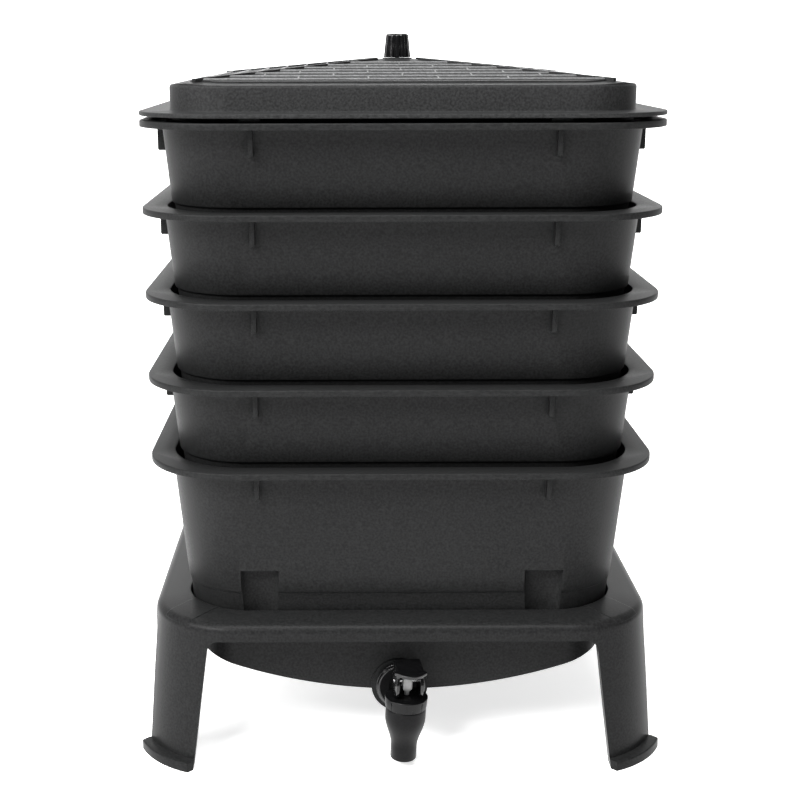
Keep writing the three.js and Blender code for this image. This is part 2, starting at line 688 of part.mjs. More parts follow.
function knobWasherSolid() {
  const disc = solid(rod(WASHER_RADIUS, WASHER_LOW, WASHER_LOW + WASHER_THICK));
  return disc.subtract(solid(rod(BOSS_HOLE_RADIUS, WASHER_LOW - OVERRUN, BOSS_FACE, SMALL_TURN_STEPS)));
}

function knobScrewSolid() {
  const low = HEAD_TOP - SCREW_HEAD_HEIGHT;
  const screw = solid(turned([
    [0, low],
    [SCREW_HEAD_RADIUS - SCREW_HEAD_HEIGHT / 4, low],
    [SCREW_HEAD_RADIUS, HEAD_TOP - SCREW_HEAD_HEIGHT / 2],
    [SCREW_HEAD_RADIUS, HEAD_TOP],
    [SCREW_RADIUS, HEAD_TOP],
    [SCREW_RADIUS, KNOB_SEAT + SCREW_BITE - SCREW_RADIUS],
    [0, KNOB_SEAT + SCREW_BITE],
  ], SMALL_TURN_STEPS));
  const slot = (long, wide) => solid(box([-long, -wide, low - OVERRUN], [long, wide, low + SCREW_SLOT]));
  const cross = slot(SCREW_RADIUS, SCREW_SLOT / 2).add(slot(SCREW_SLOT / 2, SCREW_RADIUS));
  return screw.subtract(cross);
}

// Tap pieces. Their barrel's axis is X = Y = 0 in these functions, and one frame sets them in place.
const FLANGE_BACK = WELL_FACE + SEAL_THICK + 2 * CLEARANCE;
const FLANGE_FRONT = FLANGE_BACK + TAP_FLANGE_THICK;

const BARREL_FRAME = new THREE.Matrix4()
  .makeTranslation(0, 0, TAP_AXIS)
  .multiply(new THREE.Matrix4().makeRotationY(TAP_TILT))
  .multiply(new THREE.Matrix4().makeTranslation(0, -FLANGE_FRONT, -TAP_AXIS))
  .multiply(new THREE.Matrix4().makeRotationZ(TAP_TURN))
  .multiply(new THREE.Matrix4().makeTranslation(0, -BARREL_REACH, 0));

const toBarrel = (geometry) => geometry.applyMatrix4(BARREL_FRAME);

function barrelProfile() {
  const profile = [
    [0, SPOUT_END],
    [SPOUT_RADIUS - SPOUT_EDGE, SPOUT_END],
    [SPOUT_RADIUS, SPOUT_END + SPOUT_EDGE],
  ];
  for (let step = 0; step <= OGEE_STEPS; step += 1) {
    const share = step / OGEE_STEPS;
    const swing = (1 - Math.cos(Math.PI * share)) / 2;
    profile.push([
      SPOUT_RADIUS + (BARREL_RADIUS - SPOUT_RADIUS) * swing,
      OGEE_BOTTOM + (OGEE_TOP - OGEE_BOTTOM) * share,
    ]);
  }
  const collar = CAP_TOP - CAP_HEIGHT - CLEARANCE;
  profile.push([BARREL_RADIUS, collar], [BARREL_NECK_RADIUS, collar]);
  profile.push([BARREL_NECK_RADIUS, NECK_TOP], [0, NECK_TOP]);
  return profile;
}

const CROWN_TOP = CAP_TOP + CAP_CROWN;
const DISC_UNDER = CAP_TOP - CAP_DISC;
const NECK_TOP = DISC_UNDER - CLEARANCE;

const inBarrel = (geometry) => solid(toBarrel(geometry));

// The neck between flange and barrel, or its bore
const neckRod = (radius, back) => inBarrel(crossRod(radius, 0, back, NECK_AXIS, SMALL_TURN_STEPS));

function tapFlange() {
  return joined([
    solid(crossRod(TAP_FLANGE_RADIUS, TAP_FLANGE_STEP - FLANGE_FRONT, -FLANGE_BACK, TAP_AXIS)),
    solid(crossRod(TAP_FLANGE_FACE_RADIUS, -FLANGE_FRONT, -FLANGE_BACK, TAP_AXIS)),
    solid(crossRod(SHANK_RADIUS, -FLANGE_FRONT, SHANK_LENGTH - FLANGE_BACK, TAP_AXIS)),
  ]);
}

function tapBodySolid() {
  const back = SHANK_LENGTH - FLANGE_BACK;
  const inlet = solid(crossRod(SHANK_BORE_RADIUS, -FLANGE_BACK, back + OVERRUN, TAP_AXIS, SMALL_TURN_STEPS));
  const barrel = inBarrel(turned(barrelProfile()));
  const neck = neckRod(NECK_RADIUS, BARREL_REACH + TAP_FLANGE_THICK / 2);
  const neckBore = neckRod(NECK_BORE_RADIUS, BARREL_REACH + TAP_FLANGE_THICK + OVERRUN);
  const chamber = inBarrel(rod(CHAMBER_RADIUS, CHAMBER_FLOOR, NECK_TOP + OVERRUN));
  const seat = inBarrel(rod(SEAT_BORE_RADIUS, CHAMBER_FLOOR - SEAT_THICK - OVERRUN, CHAMBER_FLOOR + OVERRUN));
  const spout = inBarrel(rod(SPOUT_BORE_RADIUS, SPOUT_END - OVERRUN, CHAMBER_FLOOR - SEAT_THICK));
  return joined([tapFlange(), barrel, neck]).subtract(joined([inlet, neckBore, chamber, seat, spout]));
}

function sealSolid(front) {
  const disc = solid(crossRod(SEAL_RADIUS, front, front + SEAL_THICK, TAP_AXIS));
  const hole = crossRod(SHANK_RADIUS + CLEARANCE, front - OVERRUN, front + SEAL_THICK + OVERRUN, TAP_AXIS);
  return disc.subtract(solid(hole));
}

const INNER_SEAL_FRONT = WELL_PLATE + CLEARANCE - WELL_FACE;
const NUT_FRONT = INNER_SEAL_FRONT + SEAL_THICK + CLEARANCE;

function backnutSolid() {
  const nut = solid(crossRod(NUT_RADIUS, NUT_FRONT, NUT_FRONT + NUT_THICK, TAP_AXIS, NUT_SIDES));
  const back = NUT_FRONT + NUT_THICK + OVERRUN;
  const hole = crossRod(SHANK_RADIUS + CLEARANCE, NUT_FRONT - OVERRUN, back, TAP_AXIS);
  return nut.subtract(solid(hole));
}

function strainerSolid() {
  const front = NUT_FRONT + NUT_THICK + CLEARANCE;
  const back = front + STRAINER_LENGTH;
  const inner = SHANK_RADIUS + CLEARANCE;
  const cup = solid(crossRod(inner + STRAINER_WALL, front, back, TAP_AXIS));
  const hollow = solid(crossRod(inner, front - OVERRUN, back - STRAINER_WALL, TAP_AXIS));
  const slots = [-1, 0, 1].map((row) => {
    const z = TAP_AXIS + 2 * row * STRAINER_SLOT;
    const low = [-inner / 2, back - STRAINER_WALL - OVERRUN, z - STRAINER_SLOT / 2];
    const high = [inner / 2, back + OVERRUN, z + STRAINER_SLOT / 2];
    return solid(box(low, high));
  });
  return cup.subtract(hollow).subtract(joined(slots));
}

function capSolid() {
  const low = CAP_TOP - CAP_HEIGHT;
  const inner = BARREL_NECK_RADIUS + CLEARANCE;
  const ring = solid(turned([
    [0, low],
    [CAP_RADIUS - CAP_EDGE, low],
    [CAP_RADIUS, CAP_TOP - CAP_EDGE],
    [CAP_RADIUS - CAP_EDGE, CAP_TOP],
    [CAP_CROWN_RADIUS, CROWN_TOP],
    [0, CROWN_TOP],
  ]));
  const socket = solid(rod(inner, low - OVERRUN, DISC_UNDER));
  const holeTop = CROWN_TOP + OVERRUN;
  const stemHole = solid(rod(STEM_RADIUS + CLEARANCE, DISC_UNDER - OVERRUN, holeTop, SMALL_TURN_STEPS));
  const half = NECK_RADIUS + CLEARANCE;
  const notch = solid(box([-half, 0, low - OVERRUN], [half, CAP_RADIUS + OVERRUN, DISC_UNDER]));
  return ring.subtract(joined([socket, stemHole, notch]));
}

// The cup's foot sits on the barrel's seat
const CUP_LOW = CHAMBER_FLOOR + CLEARANCE;
const CUP_TOP = CUP_LOW + CUP_HEIGHT;

function seatCup() {
  const socket = STEM_RADIUS + CLEARANCE;
  return turned([
    [0, CUP_LOW],
    [CUP_RADIUS - CUP_HEIGHT / 4, CUP_LOW],
    [CUP_RADIUS, CUP_LOW + CUP_HEIGHT / 4],
    [CUP_RADIUS, CUP_LOW + CUP_HEIGHT / 2],
    [CUP_RADIUS / 2, CUP_TOP],
    [socket, CUP_TOP],
    [socket, CUP_TOP - CUP_SOCKET],
    [0, CUP_TOP - CUP_SOCKET],
  ]);
}

function stemSolid() {
  const low = CUP_TOP - CUP_SOCKET + CLEARANCE;
  const rodPart = solid(rod(STEM_RADIUS, low, STEM_HEAD_BOTTOM + STEM_CONE, SMALL_TURN_STEPS));
  const half = [STEM_HEAD_WIDTH / 2, STEM_HEAD_DEPTH / 2];
  const level = (share, z) => [[-1, -1], [1, -1], [1, 1], [-1, 1]].map(
    ([x, y]) => new THREE.Vector3(x * share * half[0], y * share * half[1], z),
  );
  const headNarrowShare = 0.45;
  const head = stacked([
    level(headNarrowShare, STEM_HEAD_BOTTOM),
    level(1, STEM_HEAD_BOTTOM + STEM_CONE),
    level(1, STEM_HEAD_TOP),
  ]);
  return rodPart.add(head).subtract(solid(pinRod(PIN_RADIUS + PIN_RUNNING, STEM_HEAD_WIDTH)));
}

function pinRod(radius, halfLength) {
  const geometry = new THREE.CylinderGeometry(radius, radius, 2 * halfLength, PIN_STEPS);
  return geometry.rotateZ(QUARTER).translate(0, 0, PIN_AXIS);
}

// A compression spring with one unbroken wire, between the cup and the cap's disc
class SpringPath extends THREE.Curve {
  getPoint(t, target = new THREE.Vector3()) {
    const angle = 2 * Math.PI * SPRING_TURNS * t;
    const low = CUP_TOP + CLEARANCE + SPRING_WIRE;
    const high = DISC_UNDER - CLEARANCE - SPRING_WIRE;
    const z = low + (high - low) * t;
    return target.set(SPRING_RADIUS * Math.cos(angle), SPRING_RADIUS * Math.sin(angle), z);
  }
}

function springWire() {
  const section = new THREE.Shape().absarc(0, 0, SPRING_WIRE, 0, 2 * Math.PI, false);
  const steps = SPRING_TURNS * SPRING_TURN_STEPS;
  const options = { steps, curveSegments: WIRE_STEPS, bevelEnabled: false, extrudePath: new SpringPath() };
  return new THREE.ExtrudeGeometry(section, options);
}

// Lever: a paddle on two eccentric cheeks that roll on the cap's crown and lift the stem
const CAM_RADIUS = PIN_AXIS - CROWN_TOP - CLEARANCE;

function leverSolid() {
  const rear = PADDLE_REAR;
  const plan = new THREE.Shape();
  plan.moveTo(-PADDLE_REAR_HALF, rear);
  plan.lineTo(-PADDLE_REAR_HALF, -PADDLE_SHOULDER);
  plan.quadraticCurveTo(-PADDLE_REAR_HALF, -PADDLE_CORNER, -PADDLE_FRONT_HALF, -PADDLE_CORNER);
  plan.quadraticCurveTo(0, PADDLE_CORNER - 2 * PADDLE_FRONT, PADDLE_FRONT_HALF, -PADDLE_CORNER);
  plan.quadraticCurveTo(PADDLE_REAR_HALF, -PADDLE_CORNER, PADDLE_REAR_HALF, -PADDLE_SHOULDER);
  plan.lineTo(PADDLE_REAR_HALF, rear);
  const options = { bevelEnabled: false, curveSegments: FILLET_STEPS };
  const underside = PADDLE_TOP - PADDLE_THICK;
  const block = new THREE.ExtrudeGeometry(plan, { ...options, depth: PADDLE_LIP });
  const under = block.clone().translate(0, PADDLE_LIP_DEPTH, underside - PADDLE_LIP);
  const far = [PADDLE_FRONT_HALF, PADDLE_CORNER, underside];
  const tail = box([-PADDLE_FRONT_HALF, -PADDLE_SHOULDER, CAP_TOP], far);
  block.translate(0, 0, PADDLE_TOP - PADDLE_LIP);
  const flat = geometryOf(solid(block).subtract(solid(under)).subtract(solid(tail)));
  flat.translate(0, -rear, -PADDLE_TOP).rotateX(PADDLE_SLOPE).translate(0, rear, PADDLE_TOP);
  const paddle = solid(flat);
  const hole = solid(pinRod(PIN_RADIUS + PIN_RUNNING, PIN_HALF_LENGTH + OVERRUN));
  return joined([paddle, cheek(-1), cheek(1)]).subtract(hole);
}

function cheek(side) {
  const disc = new THREE.CylinderGeometry(CAM_RADIUS, CAM_RADIUS, CHEEK_THICK, TURN_STEPS).rotateZ(QUARTER);
  const middle = side * (CHEEK_INNER + CHEEK_THICK / 2);
  const round = solid(disc.translate(middle, -CAM_OFFSET, PIN_AXIS));
  const top = PADDLE_TOP - PADDLE_THICK / 2;
  const front = -PADDLE_SHOULDER - CAM_OFFSET;
  const drop = (PADDLE_REAR - front) * Math.tan(PADDLE_SLOPE);
  const upper = [[front, top - drop], [PADDLE_REAR, top]];
  const shape = outline([...upper, [PADDLE_REAR, PIN_AXIS], [front, PIN_AXIS]]);
  const web = slab(shape, CHEEK_THICK).rotateZ(QUARTER).translate(middle, 0, 0);
  return round.add(solid(web));
}

// Ladder dome that stands on the bowl's floor
function ladderSolid() {
  const base = BOWL_FLOOR;
  const top = BOWL_FLOOR + BOWL_FALL / 2 + WALL + LADDER_HEIGHT;
  const outer = solid(turned([[0, base], [LADDER_RADIUS, base], [LADDER_TOP_RADIUS, top], [0, top]]));
  const inner = solid(turned([
    [0, base - OVERRUN],
    [LADDER_RADIUS - LADDER_WALL, base - OVERRUN],
    [LADDER_TOP_RADIUS - LADDER_WALL, top - LADDER_WALL],
    [0, top - LADDER_WALL],
  ]));
  const cuts = [];
  for (let slot = 0; slot < LADDER_SLOTS; slot += 1) {
    const turn = (slot / LADDER_SLOTS) * 2 * Math.PI;
    const low = [LADDER_TOP_RADIUS + LADDER_SLOT_WIDTH, -LADDER_SLOT_WIDTH / 2, base + LADDER_HEIGHT / 2];
    const high = [LADDER_RADIUS, LADDER_SLOT_WIDTH / 2, top - LADDER_SLOT_WIDTH];
    cuts.push(solid(box(low, high).rotateZ(turn)));
  }
  return outer.subtract(inner).intersect(cradle(WALL + CLEARANCE)).subtract(joined(cuts));
}

// Materials and the assembly
const finish = (color, roughness, metalness = 0) => ({ color, roughness, metalness });
const FINISHES = {
  matte: finish(0x2b2c2c, 0.62),
  frame: finish(0x343535, 0.6),
  gloss: finish(0x0c0c0d, 0.22),
  rubber: finish(0x161616, 0.85),
  stem: finish(0x9a9b9c, 0.35),
  steel: finish(0xb8b9ba, 0.3, 1),
  natural: finish(0x202121, 0.55),
};

function node(name, shape, material) {
  const geometry = shape.isBufferGeometry ? shape : geometryOf(shape);
  const mesh = new THREE.Mesh(geometry, new THREE.MeshStandardMaterial(FINISHES[material]));
  mesh.name = name;
  return mesh;
}

function tapHead() {
  const head = new THREE.Group();
  head.add(node('tap_cap', capSolid(), 'gloss'));
  head.add(node('tap_seat', seatCup(), 'rubber'));
  head.add(node('tap_spring', springWire(), 'steel'));
  head.add(node('tap_stem', stemSolid(), 'stem'));
  head.add(node('tap_lever_pin', pinRod(PIN_RADIUS, PIN_HALF_LENGTH), 'steel'));
  head.add(node('tap_lever', leverSolid(), 'gloss'));
  head.applyMatrix4(BARREL_FRAME);
  return head;
}

const wormery = new THREE.Group();
wormery.add(node('stand', standSolid(), 'frame'));
wormery.add(node('tank', tankSolid(TANK_RIM), 'matte'));
for (let number = 1; number <= TRAY_COUNT; number += 1) {
  wormery.add(node(`tray_${number}`, traySolid(TOP_RIM - (number - 1) * TRAY_PITCH), 'matte'));
}
wormery.add(node('lid', lidSolid(), 'matte'));
wormery.add(node('lid_knob', knobSolid(), 'gloss'));
wormery.add(node('knob_washer', knobWasherSolid(), 'steel'));
wormery.add(node('knob_screw', knobScrewSolid(), 'steel'));
wormery.add(node('tap_body', tapBodySolid(), 'gloss'));
wormery.add(node('tap_outer_washer', sealSolid(CLEARANCE - FLANGE_BACK), 'rubber'));
wormery.add(node('tap_inner_washer', sealSolid(INNER_SEAL_FRONT), 'rubber'));
wormery.add(node('tap_backnut', backnutSolid(), 'gloss'));
wormery.add(node('tap_strainer', strainerSolid(), 'natural'));
wormery.add(node('worm_ladder', ladderSolid(), 'natural'));
wormery.add(tapHead());

export default wormery;
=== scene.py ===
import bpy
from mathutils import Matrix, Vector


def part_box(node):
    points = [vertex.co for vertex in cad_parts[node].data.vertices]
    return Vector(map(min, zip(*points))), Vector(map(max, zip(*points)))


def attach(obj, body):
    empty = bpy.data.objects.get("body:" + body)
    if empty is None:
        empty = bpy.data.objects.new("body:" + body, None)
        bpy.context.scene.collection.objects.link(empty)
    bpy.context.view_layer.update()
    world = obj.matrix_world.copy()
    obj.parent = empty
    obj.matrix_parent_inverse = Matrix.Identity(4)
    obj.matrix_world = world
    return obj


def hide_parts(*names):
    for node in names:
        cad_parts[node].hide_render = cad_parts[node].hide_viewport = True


bl_info = {
    "name": "Wormery",
    "version": (1, 0, 0),
    "blender": (4, 5, 0),
    "location": "3D View > Sidebar > Wormery",
    "description": "Builds the moulded pieces, finishes and stage of a stacking worm composter",
    "category": "Add Mesh",
}

import math

import bmesh
import bpy
from bpy.props import FloatProperty, FloatVectorProperty, IntProperty, PointerProperty
from mathutils import Matrix, Vector

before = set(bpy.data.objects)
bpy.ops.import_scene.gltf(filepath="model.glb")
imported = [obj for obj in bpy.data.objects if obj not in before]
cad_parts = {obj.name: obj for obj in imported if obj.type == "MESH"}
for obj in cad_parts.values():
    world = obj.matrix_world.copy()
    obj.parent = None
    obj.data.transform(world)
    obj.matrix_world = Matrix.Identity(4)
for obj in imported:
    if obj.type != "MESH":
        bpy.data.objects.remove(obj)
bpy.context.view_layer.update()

TURN = 2 * math.pi
QUARTER = math.pi / 2
SIDES = (0, 1, 2, 3)
CORNERS = ((1, 1), (-1, 1), (-1, -1), (1, -1))
MM = 0.001
OVERRUN = 2 * MM
CLEARANCE = 0.3 * MM
WELD = MM / 1000
BEVEL_ANGLE = math.radians(30)
SHARP_ANGLE = math.radians(32)

# The rim and the wall that trays and tank share
RIM_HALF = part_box("tray_1")[1].x
RIM_CORNER = 74.5 * MM
RIM_CENTRE = RIM_HALF - RIM_CORNER
RIM_PLATE = 2.6 * MM
RIM_LIP = 5.2 * MM
LIP_WALL = 2.4 * MM
RIM_ROUND = 1.1 * MM
LIP_FOOT_ROUND = 0.5 * MM
WALL = 2.6 * MM
BODY_HALF = 193 * MM
BODY_CENTRE = 128 * MM
WALL_LEAN_SHARE = 0.095
FOOT_ROUND = 3 * MM
ROOT_FILLET = 1.6 * MM

# Gusset ribs under the rims
RIB_OFFSET = 118 * MM
RIB_THICK = 4 * MM
RIB_REACH = 198.5 * MM
RIB_DROP = 25.8 * MM
RIB_ROUND = 1.4 * MM
RIB_BEAD = 0.45 * MM

# Trays
TRAY_COUNT = 4
TRAY_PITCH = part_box("tray_1")[1].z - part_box("tray_2")[1].z
TRAY_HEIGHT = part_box("tray_1")[1].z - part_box("tray_1")[0].z
TRAY_STEP_DEPTH = 65 * MM
TRAY_STEP_IN = 2.2 * MM
TRAY_FLOOR = 3 * MM
LEDGE_DEPTH = TRAY_HEIGHT - TRAY_PITCH + CLEARANCE
LEDGE_PLATE = 3 * MM
NICHE_HALF = 16 * MM
NICHE_DEPTH = 12.8 * MM
FLOOR_HOLE = 10 * MM
FLOOR_HOLE_PITCH = 26 * MM
FLOOR_HOLE_ROWS = 12

# Tank
TANK_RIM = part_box("tank")[1].z
TANK_STEP_DEPTH = 111 * MM
TANK_STEP_IN = 1.2 * MM
BOWL_HALF = 173.5 * MM
BOWL_FOOT_HALF = 171 * MM
BOWL_CENTRE = 140 * MM
BOWL_FLOOR = 51 * MM
BOWL_RADIUS = 440 * MM
BOWL_FALL = 9 * MM
WELL_RADIUS = 24 * MM
WELL_SHIFT = 1 * MM
WELL_FACE = 173.5 * MM
WELL_PLATE = 3.5 * MM
WELL_LENGTH = 34 * MM

# Stand
LEG_CENTRE = 139 * MM
STAND_WALL = 3 * MM
STAND_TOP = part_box("stand")[1].z
MOUTH_HALF = 182 * MM
MOUTH_CENTRE = 126 * MM
STAND_TOP_HALF = 184 * MM
STAND_EDGE_HALF = 210.2 * MM
STAND_EDGE = 117.5 * MM
STAND_EDGE_ROUND = 8.2 * MM
STAND_FLOOR_HALF = 223.2 * MM
ARCH_TOP = 111.7 * MM
ARCH_TOP_HALF = 160.2 * MM
ARCH_FLOOR_HALF = 174.5 * MM
ARCH_FILLET = 11 * MM
RETURN_WALL = 3 * MM
RETURN_DEPTH = 11 * MM
LEDGE_HALF = 174.6 * MM
STIFFENER_OFFSET = 90 * MM
FOOT_HALF = 228.6 * MM
FOOT_CENTRE = 146 * MM
FOOT_HEIGHT = 8 * MM
FOOT_INNER_HALF = 213 * MM
FOOT_EDGE = 1.1 * MM
FOOT_TIP = 6 * MM
CREASE_OFFSET = 15 * MM
CREASE_RISE = 0.35 * MM
SHOULDER = ARCH_TOP + STAND_WALL + CLEARANCE

# Lid
LID_FLANGE = 3.4 * MM
LID_WALL = 2.6 * MM
LID_GAP = 3.6 * MM
LID_SKIRT = 6 * MM
TOP_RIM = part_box("tray_1")[1].z
LID_BOTTOM = TOP_RIM + LID_GAP
BAND_HALF = 185.5 * MM
BAND_CENTRE = 134 * MM
BAND_TOP = 557 * MM
BAND_ROUND = 2.2 * MM
ROOF_APEX = 574.9 * MM
ROOF_PAD = 575.8 * MM
ROOF_HALF = BAND_HALF - 1.4 * MM
ROOF_SLOPE_SHARE = (ROOF_APEX - BAND_TOP) / ROOF_HALF
PANEL_HALF = 169 * MM
PANEL_RISE = 1.2 * MM
TILE_PITCH = 19.15 * MM
TILE_LENGTH = 55 * MM
TILE_FIRST = 159.8 * MM
TILE_ROWS = 8
COURSES = [TILE_FIRST - row * TILE_PITCH for row in range(TILE_ROWS - 1)]
GROOVE_WIDTH = 1.5 * MM
GROOVE_DEPTH = 0.9 * MM
LIP_BEAD_WIDTH = 1.8 * MM
LIP_BEAD_RISE = 1.2 * MM
LIP_BEAD_STEPS = 6
JOINT_WIDTH = 1.3 * MM
JOINT_RISE = 0.4 * MM
RIDGE_WIDTH = 3.6 * MM
RIDGE_RISE = 1.5 * MM
SPACER_LENGTH = 16 * MM
SPACER_WIDTH = 8 * MM
SPACER_CENTRE = 198 * MM
BOSS_RADIUS = 13 * MM
BOSS_HEIGHT = 8 * MM
BOSS_HOLE_RADIUS = 2.6 * MM

# Knob
KNOB_FLUTES = 12
KNOB_FLUTE_DEPTH = 1.1 * MM
KNOB_FLUTE_STEPS = 12
KNOB_FLUTE_SHARPNESS = 3
KNOB_TOP_RADIUS = 9.9 * MM
KNOB_ROUND = 2.4 * MM
KNOB_FOOT = 0.5 * MM
KNOB_BORE_RADIUS = 2.1 * MM
KNOB_BORE_DEPTH = 13.3 * MM

# Drain tap
TAP_AXIS = 56.5 * MM
TAP_TURN = math.radians(7)
TAP_TILT = math.radians(2.5)
SEAL_THICK = 2 * MM
FLANGE_THICK = 3.5 * MM
FLANGE_STEP = 1.8 * MM
FLANGE_RADIUS = 21 * MM
FLANGE_FACE_RADIUS = 19.3 * MM
FLANGE_BACK = WELL_FACE + SEAL_THICK + 2 * CLEARANCE
FLANGE_FRONT = FLANGE_BACK + FLANGE_THICK
SHANK_RADIUS = 10 * MM
SHANK_BORE_RADIUS = 6.5 * MM
SHANK_LENGTH = 24 * MM
BARREL_REACH = 27.6 * MM
CAP_TOP = 62.6 * MM
CAP_RADIUS = 17.9 * MM
CAP_HEIGHT = 9.6 * MM
CAP_CROWN = 1.2 * MM
CAP_CROWN_RADIUS = 14 * MM
CAP_EDGE = 0.7 * MM
CAP_DISC = 1.7 * MM
CAP_SLOTS = 8
CAP_SLOT_TURN = math.radians(-7)
CAP_SLOT_WIDTH = 1.3 * MM
CAP_SLOT_DEPTH = 0.8 * MM
CAP_CATCH = 2.4 * MM
CAP_CATCH_TURN = math.radians(10)
BARREL_RADIUS = 16.9 * MM
BARREL_NECK_RADIUS = 15.3 * MM
CHAMBER_RADIUS = 12.7 * MM
CHAMBER_FLOOR = 34.1 * MM
SEAT_THICK = 3 * MM
SEAT_BORE_RADIUS = 6.5 * MM
SPOUT_RADIUS = 10.95 * MM
SPOUT_BORE_RADIUS = 8.6 * MM
SPOUT_END = 6.2 * MM
SPOUT_EDGE = 1.4 * MM
OGEE_TOP = 44 * MM
OGEE_BOTTOM = 18 * MM
OGEE_STEPS = 24
NECK_RADIUS = 6.2 * MM
NECK_BORE_RADIUS = 4.2 * MM
NECK_AXIS = 51.6 * MM
CROWN_TOP = CAP_TOP + CAP_CROWN
DISC_UNDER = CAP_TOP - CAP_DISC
NECK_TOP = DISC_UNDER - CLEARANCE
PIN_AXIS = 75.8 * MM
PIN_HOLE_RADIUS = 1.58 * MM
STEM_RADIUS = 2 * MM
STEM_HEAD_WIDTH = 8 * MM
STEM_HEAD_DEPTH = 7 * MM
STEM_HEAD_BOTTOM = 66.4 * MM
STEM_HEAD_TOP = 79 * MM
STEM_CONE = 3 * MM
STEM_CONE_SHARE = 0.45
STEM_EDGE = 0.8 * MM
CUP_SOCKET = 4 * MM
CUP_HEIGHT = 6 * MM
CAM_OFFSET = 4 * MM
CAM_RADIUS = PIN_AXIS - CROWN_TOP - CLEARANCE
CHEEK_INNER = 8.7 * MM
CHEEK_THICK = 2.6 * MM
CHEEK_EDGE = 0.5 * MM
PADDLE_TOP = 92.6 * MM
PADDLE_SLOPE = math.radians(6)
PADDLE_THICK = 2.6 * MM
PADDLE_REAR = 6 * MM
PADDLE_SHOULDER = 9 * MM
PADDLE_CORNER = 17 * MM
PADDLE_ROUND = 2.6 * MM
PADDLE_FRONT = 23.5 * MM
PADDLE_REAR_HALF = 10.5 * MM
PADDLE_FRONT_HALF = 13.5 * MM
PADDLE_LIP = 2.7 * MM
PADDLE_LIP_DEPTH = 2.2 * MM
PADDLE_EDGE = 0.8 * MM
PADDLE_STEPS = 8
PADDLE_CORNER_STEPS = 5

# Ladder dome
LADDER_RADIUS = 60 * MM
LADDER_HEIGHT = 36 * MM
LADDER_WALL = 2.4 * MM
LADDER_EDGE = 2 * MM
LADDER_TOP_RADIUS = 22 * MM
LADDER_SLOTS = 8
LADDER_SLOT_WIDTH = 8 * MM

# The photograph's camera
CAMERA_PLACE = Vector((-0.0444, -1.282, 0.5875))
CAMERA_YAW = 0.003
CAMERA_PITCH = 0.2476
CAMERA_ROLL = 0.0022
CAMERA_LENS = 63.36
CAMERA_SHIFT = 0.06
CAMERA_SENSOR = 36
CAMERA_REACH = 60

# The paper sweep, in metres
SWEEP_START = 2.4
SWEEP_RADIUS = 1.0
SWEEP_TOP = 3.2
SWEEP_STEPS = 24


class WormeryDetail(bpy.types.PropertyGroup):
    corner_steps: IntProperty(
        name="Corner steps", description="Facets to a quarter turn of the walls' corners", default=22, min=6
    )
    round_steps: IntProperty(
        name="Edge steps", description="Facets to a rounded edge", default=4, min=2
    )
    turned_steps: IntProperty(
        name="Turned steps", description="Facets round the tap, knob and well", default=72, min=24
    )
    edge_softness: FloatProperty(
        name="Edge softness", description="How far a moulded edge is rounded in the light",
        default=0.5 * MM, unit="LENGTH", precision=5
    )


class WormeryColours(bpy.types.PropertyGroup):
    tray: FloatVectorProperty(
        name="Trays", description="Charcoal plastic of trays and tank", subtype="COLOR",
        default=(0.0132, 0.0134, 0.0135)
    )
    stand: FloatVectorProperty(
        name="Stand", description="Charcoal plastic of the stand", subtype="COLOR",
        default=(0.0120, 0.0122, 0.0123)
    )
    lid: FloatVectorProperty(
        name="Lid", description="Charcoal plastic of the lid", subtype="COLOR",
        default=(0.0200, 0.0202, 0.0204)
    )
    # The tile edges' lighter colour is a painted highlight, standing in for the glint that the raised lips
    # and joints catch
    painted_tile_highlight: FloatVectorProperty(
        name="Tile edges", description="Rubbed edges of the lid's tiles", subtype="COLOR",
        default=(0.085, 0.086, 0.087)
    )
    gloss: FloatVectorProperty(
        name="Tap and knob", description="Polished black plastic", subtype="COLOR",
        default=(0.0026, 0.0026, 0.0028)
    )
    satin: FloatVectorProperty(
        name="Tap body", description="Satin black plastic of the tap's body and cap", subtype="COLOR",
        default=(0.0027, 0.0027, 0.0029)
    )
    stem: FloatVectorProperty(
        name="Plunger", description="Pale grey plastic of the tap's plunger", subtype="COLOR",
        default=(0.36, 0.36, 0.36)
    )
    steel: FloatVectorProperty(
        name="Steel", description="Bright steel of the pin and the screw", subtype="COLOR",
        default=(0.72, 0.72, 0.73)
    )
    rubber: FloatVectorProperty(
        name="Seals", description="Black rubber of the seals", subtype="COLOR",
        default=(0.011, 0.011, 0.011)
    )
    floor: FloatVectorProperty(
        name="Floor", description="Pale paper sweep that the composter stands on", subtype="COLOR",
        default=(0.92, 0.92, 0.92)
    )


class WormeryStage(bpy.types.PropertyGroup):
    key_power: FloatProperty(
        name="Key light", description="Power of the big soft light at the left", default=42, unit="POWER"
    )
    fill_power: FloatProperty(
        name="Fill light", description="Power of the light in front, at the left", default=88, unit="POWER"
    )
    top_power: FloatProperty(
        name="Top light", description="Power of the soft light overhead", default=60, unit="POWER"
    )
    backdrop_power: FloatProperty(
        name="Backdrop light", description="Power of the light on the sweep behind", default=35, unit="POWER"
    )
    room: FloatProperty(name="Room", description="Brightness of the dim room round the stage", default=0.16)
    table_glow: FloatProperty(
        name="Table glow", description="Light that the table under the paper gives out", default=0.68, min=0
    )
    floor_size: FloatProperty(
        name="Floor size", description="Width of the paper sweep", default=16, unit="LENGTH"
    )


def detail():
    return bpy.context.scene.wormery_detail


def colours():
    return bpy.context.scene.wormery_colours


# Mesh making
def placed(name, data):
    """A new object of the scene."""
    made = bpy.data.objects.new(name, data)
    bpy.context.scene.collection.objects.link(made)
    return made


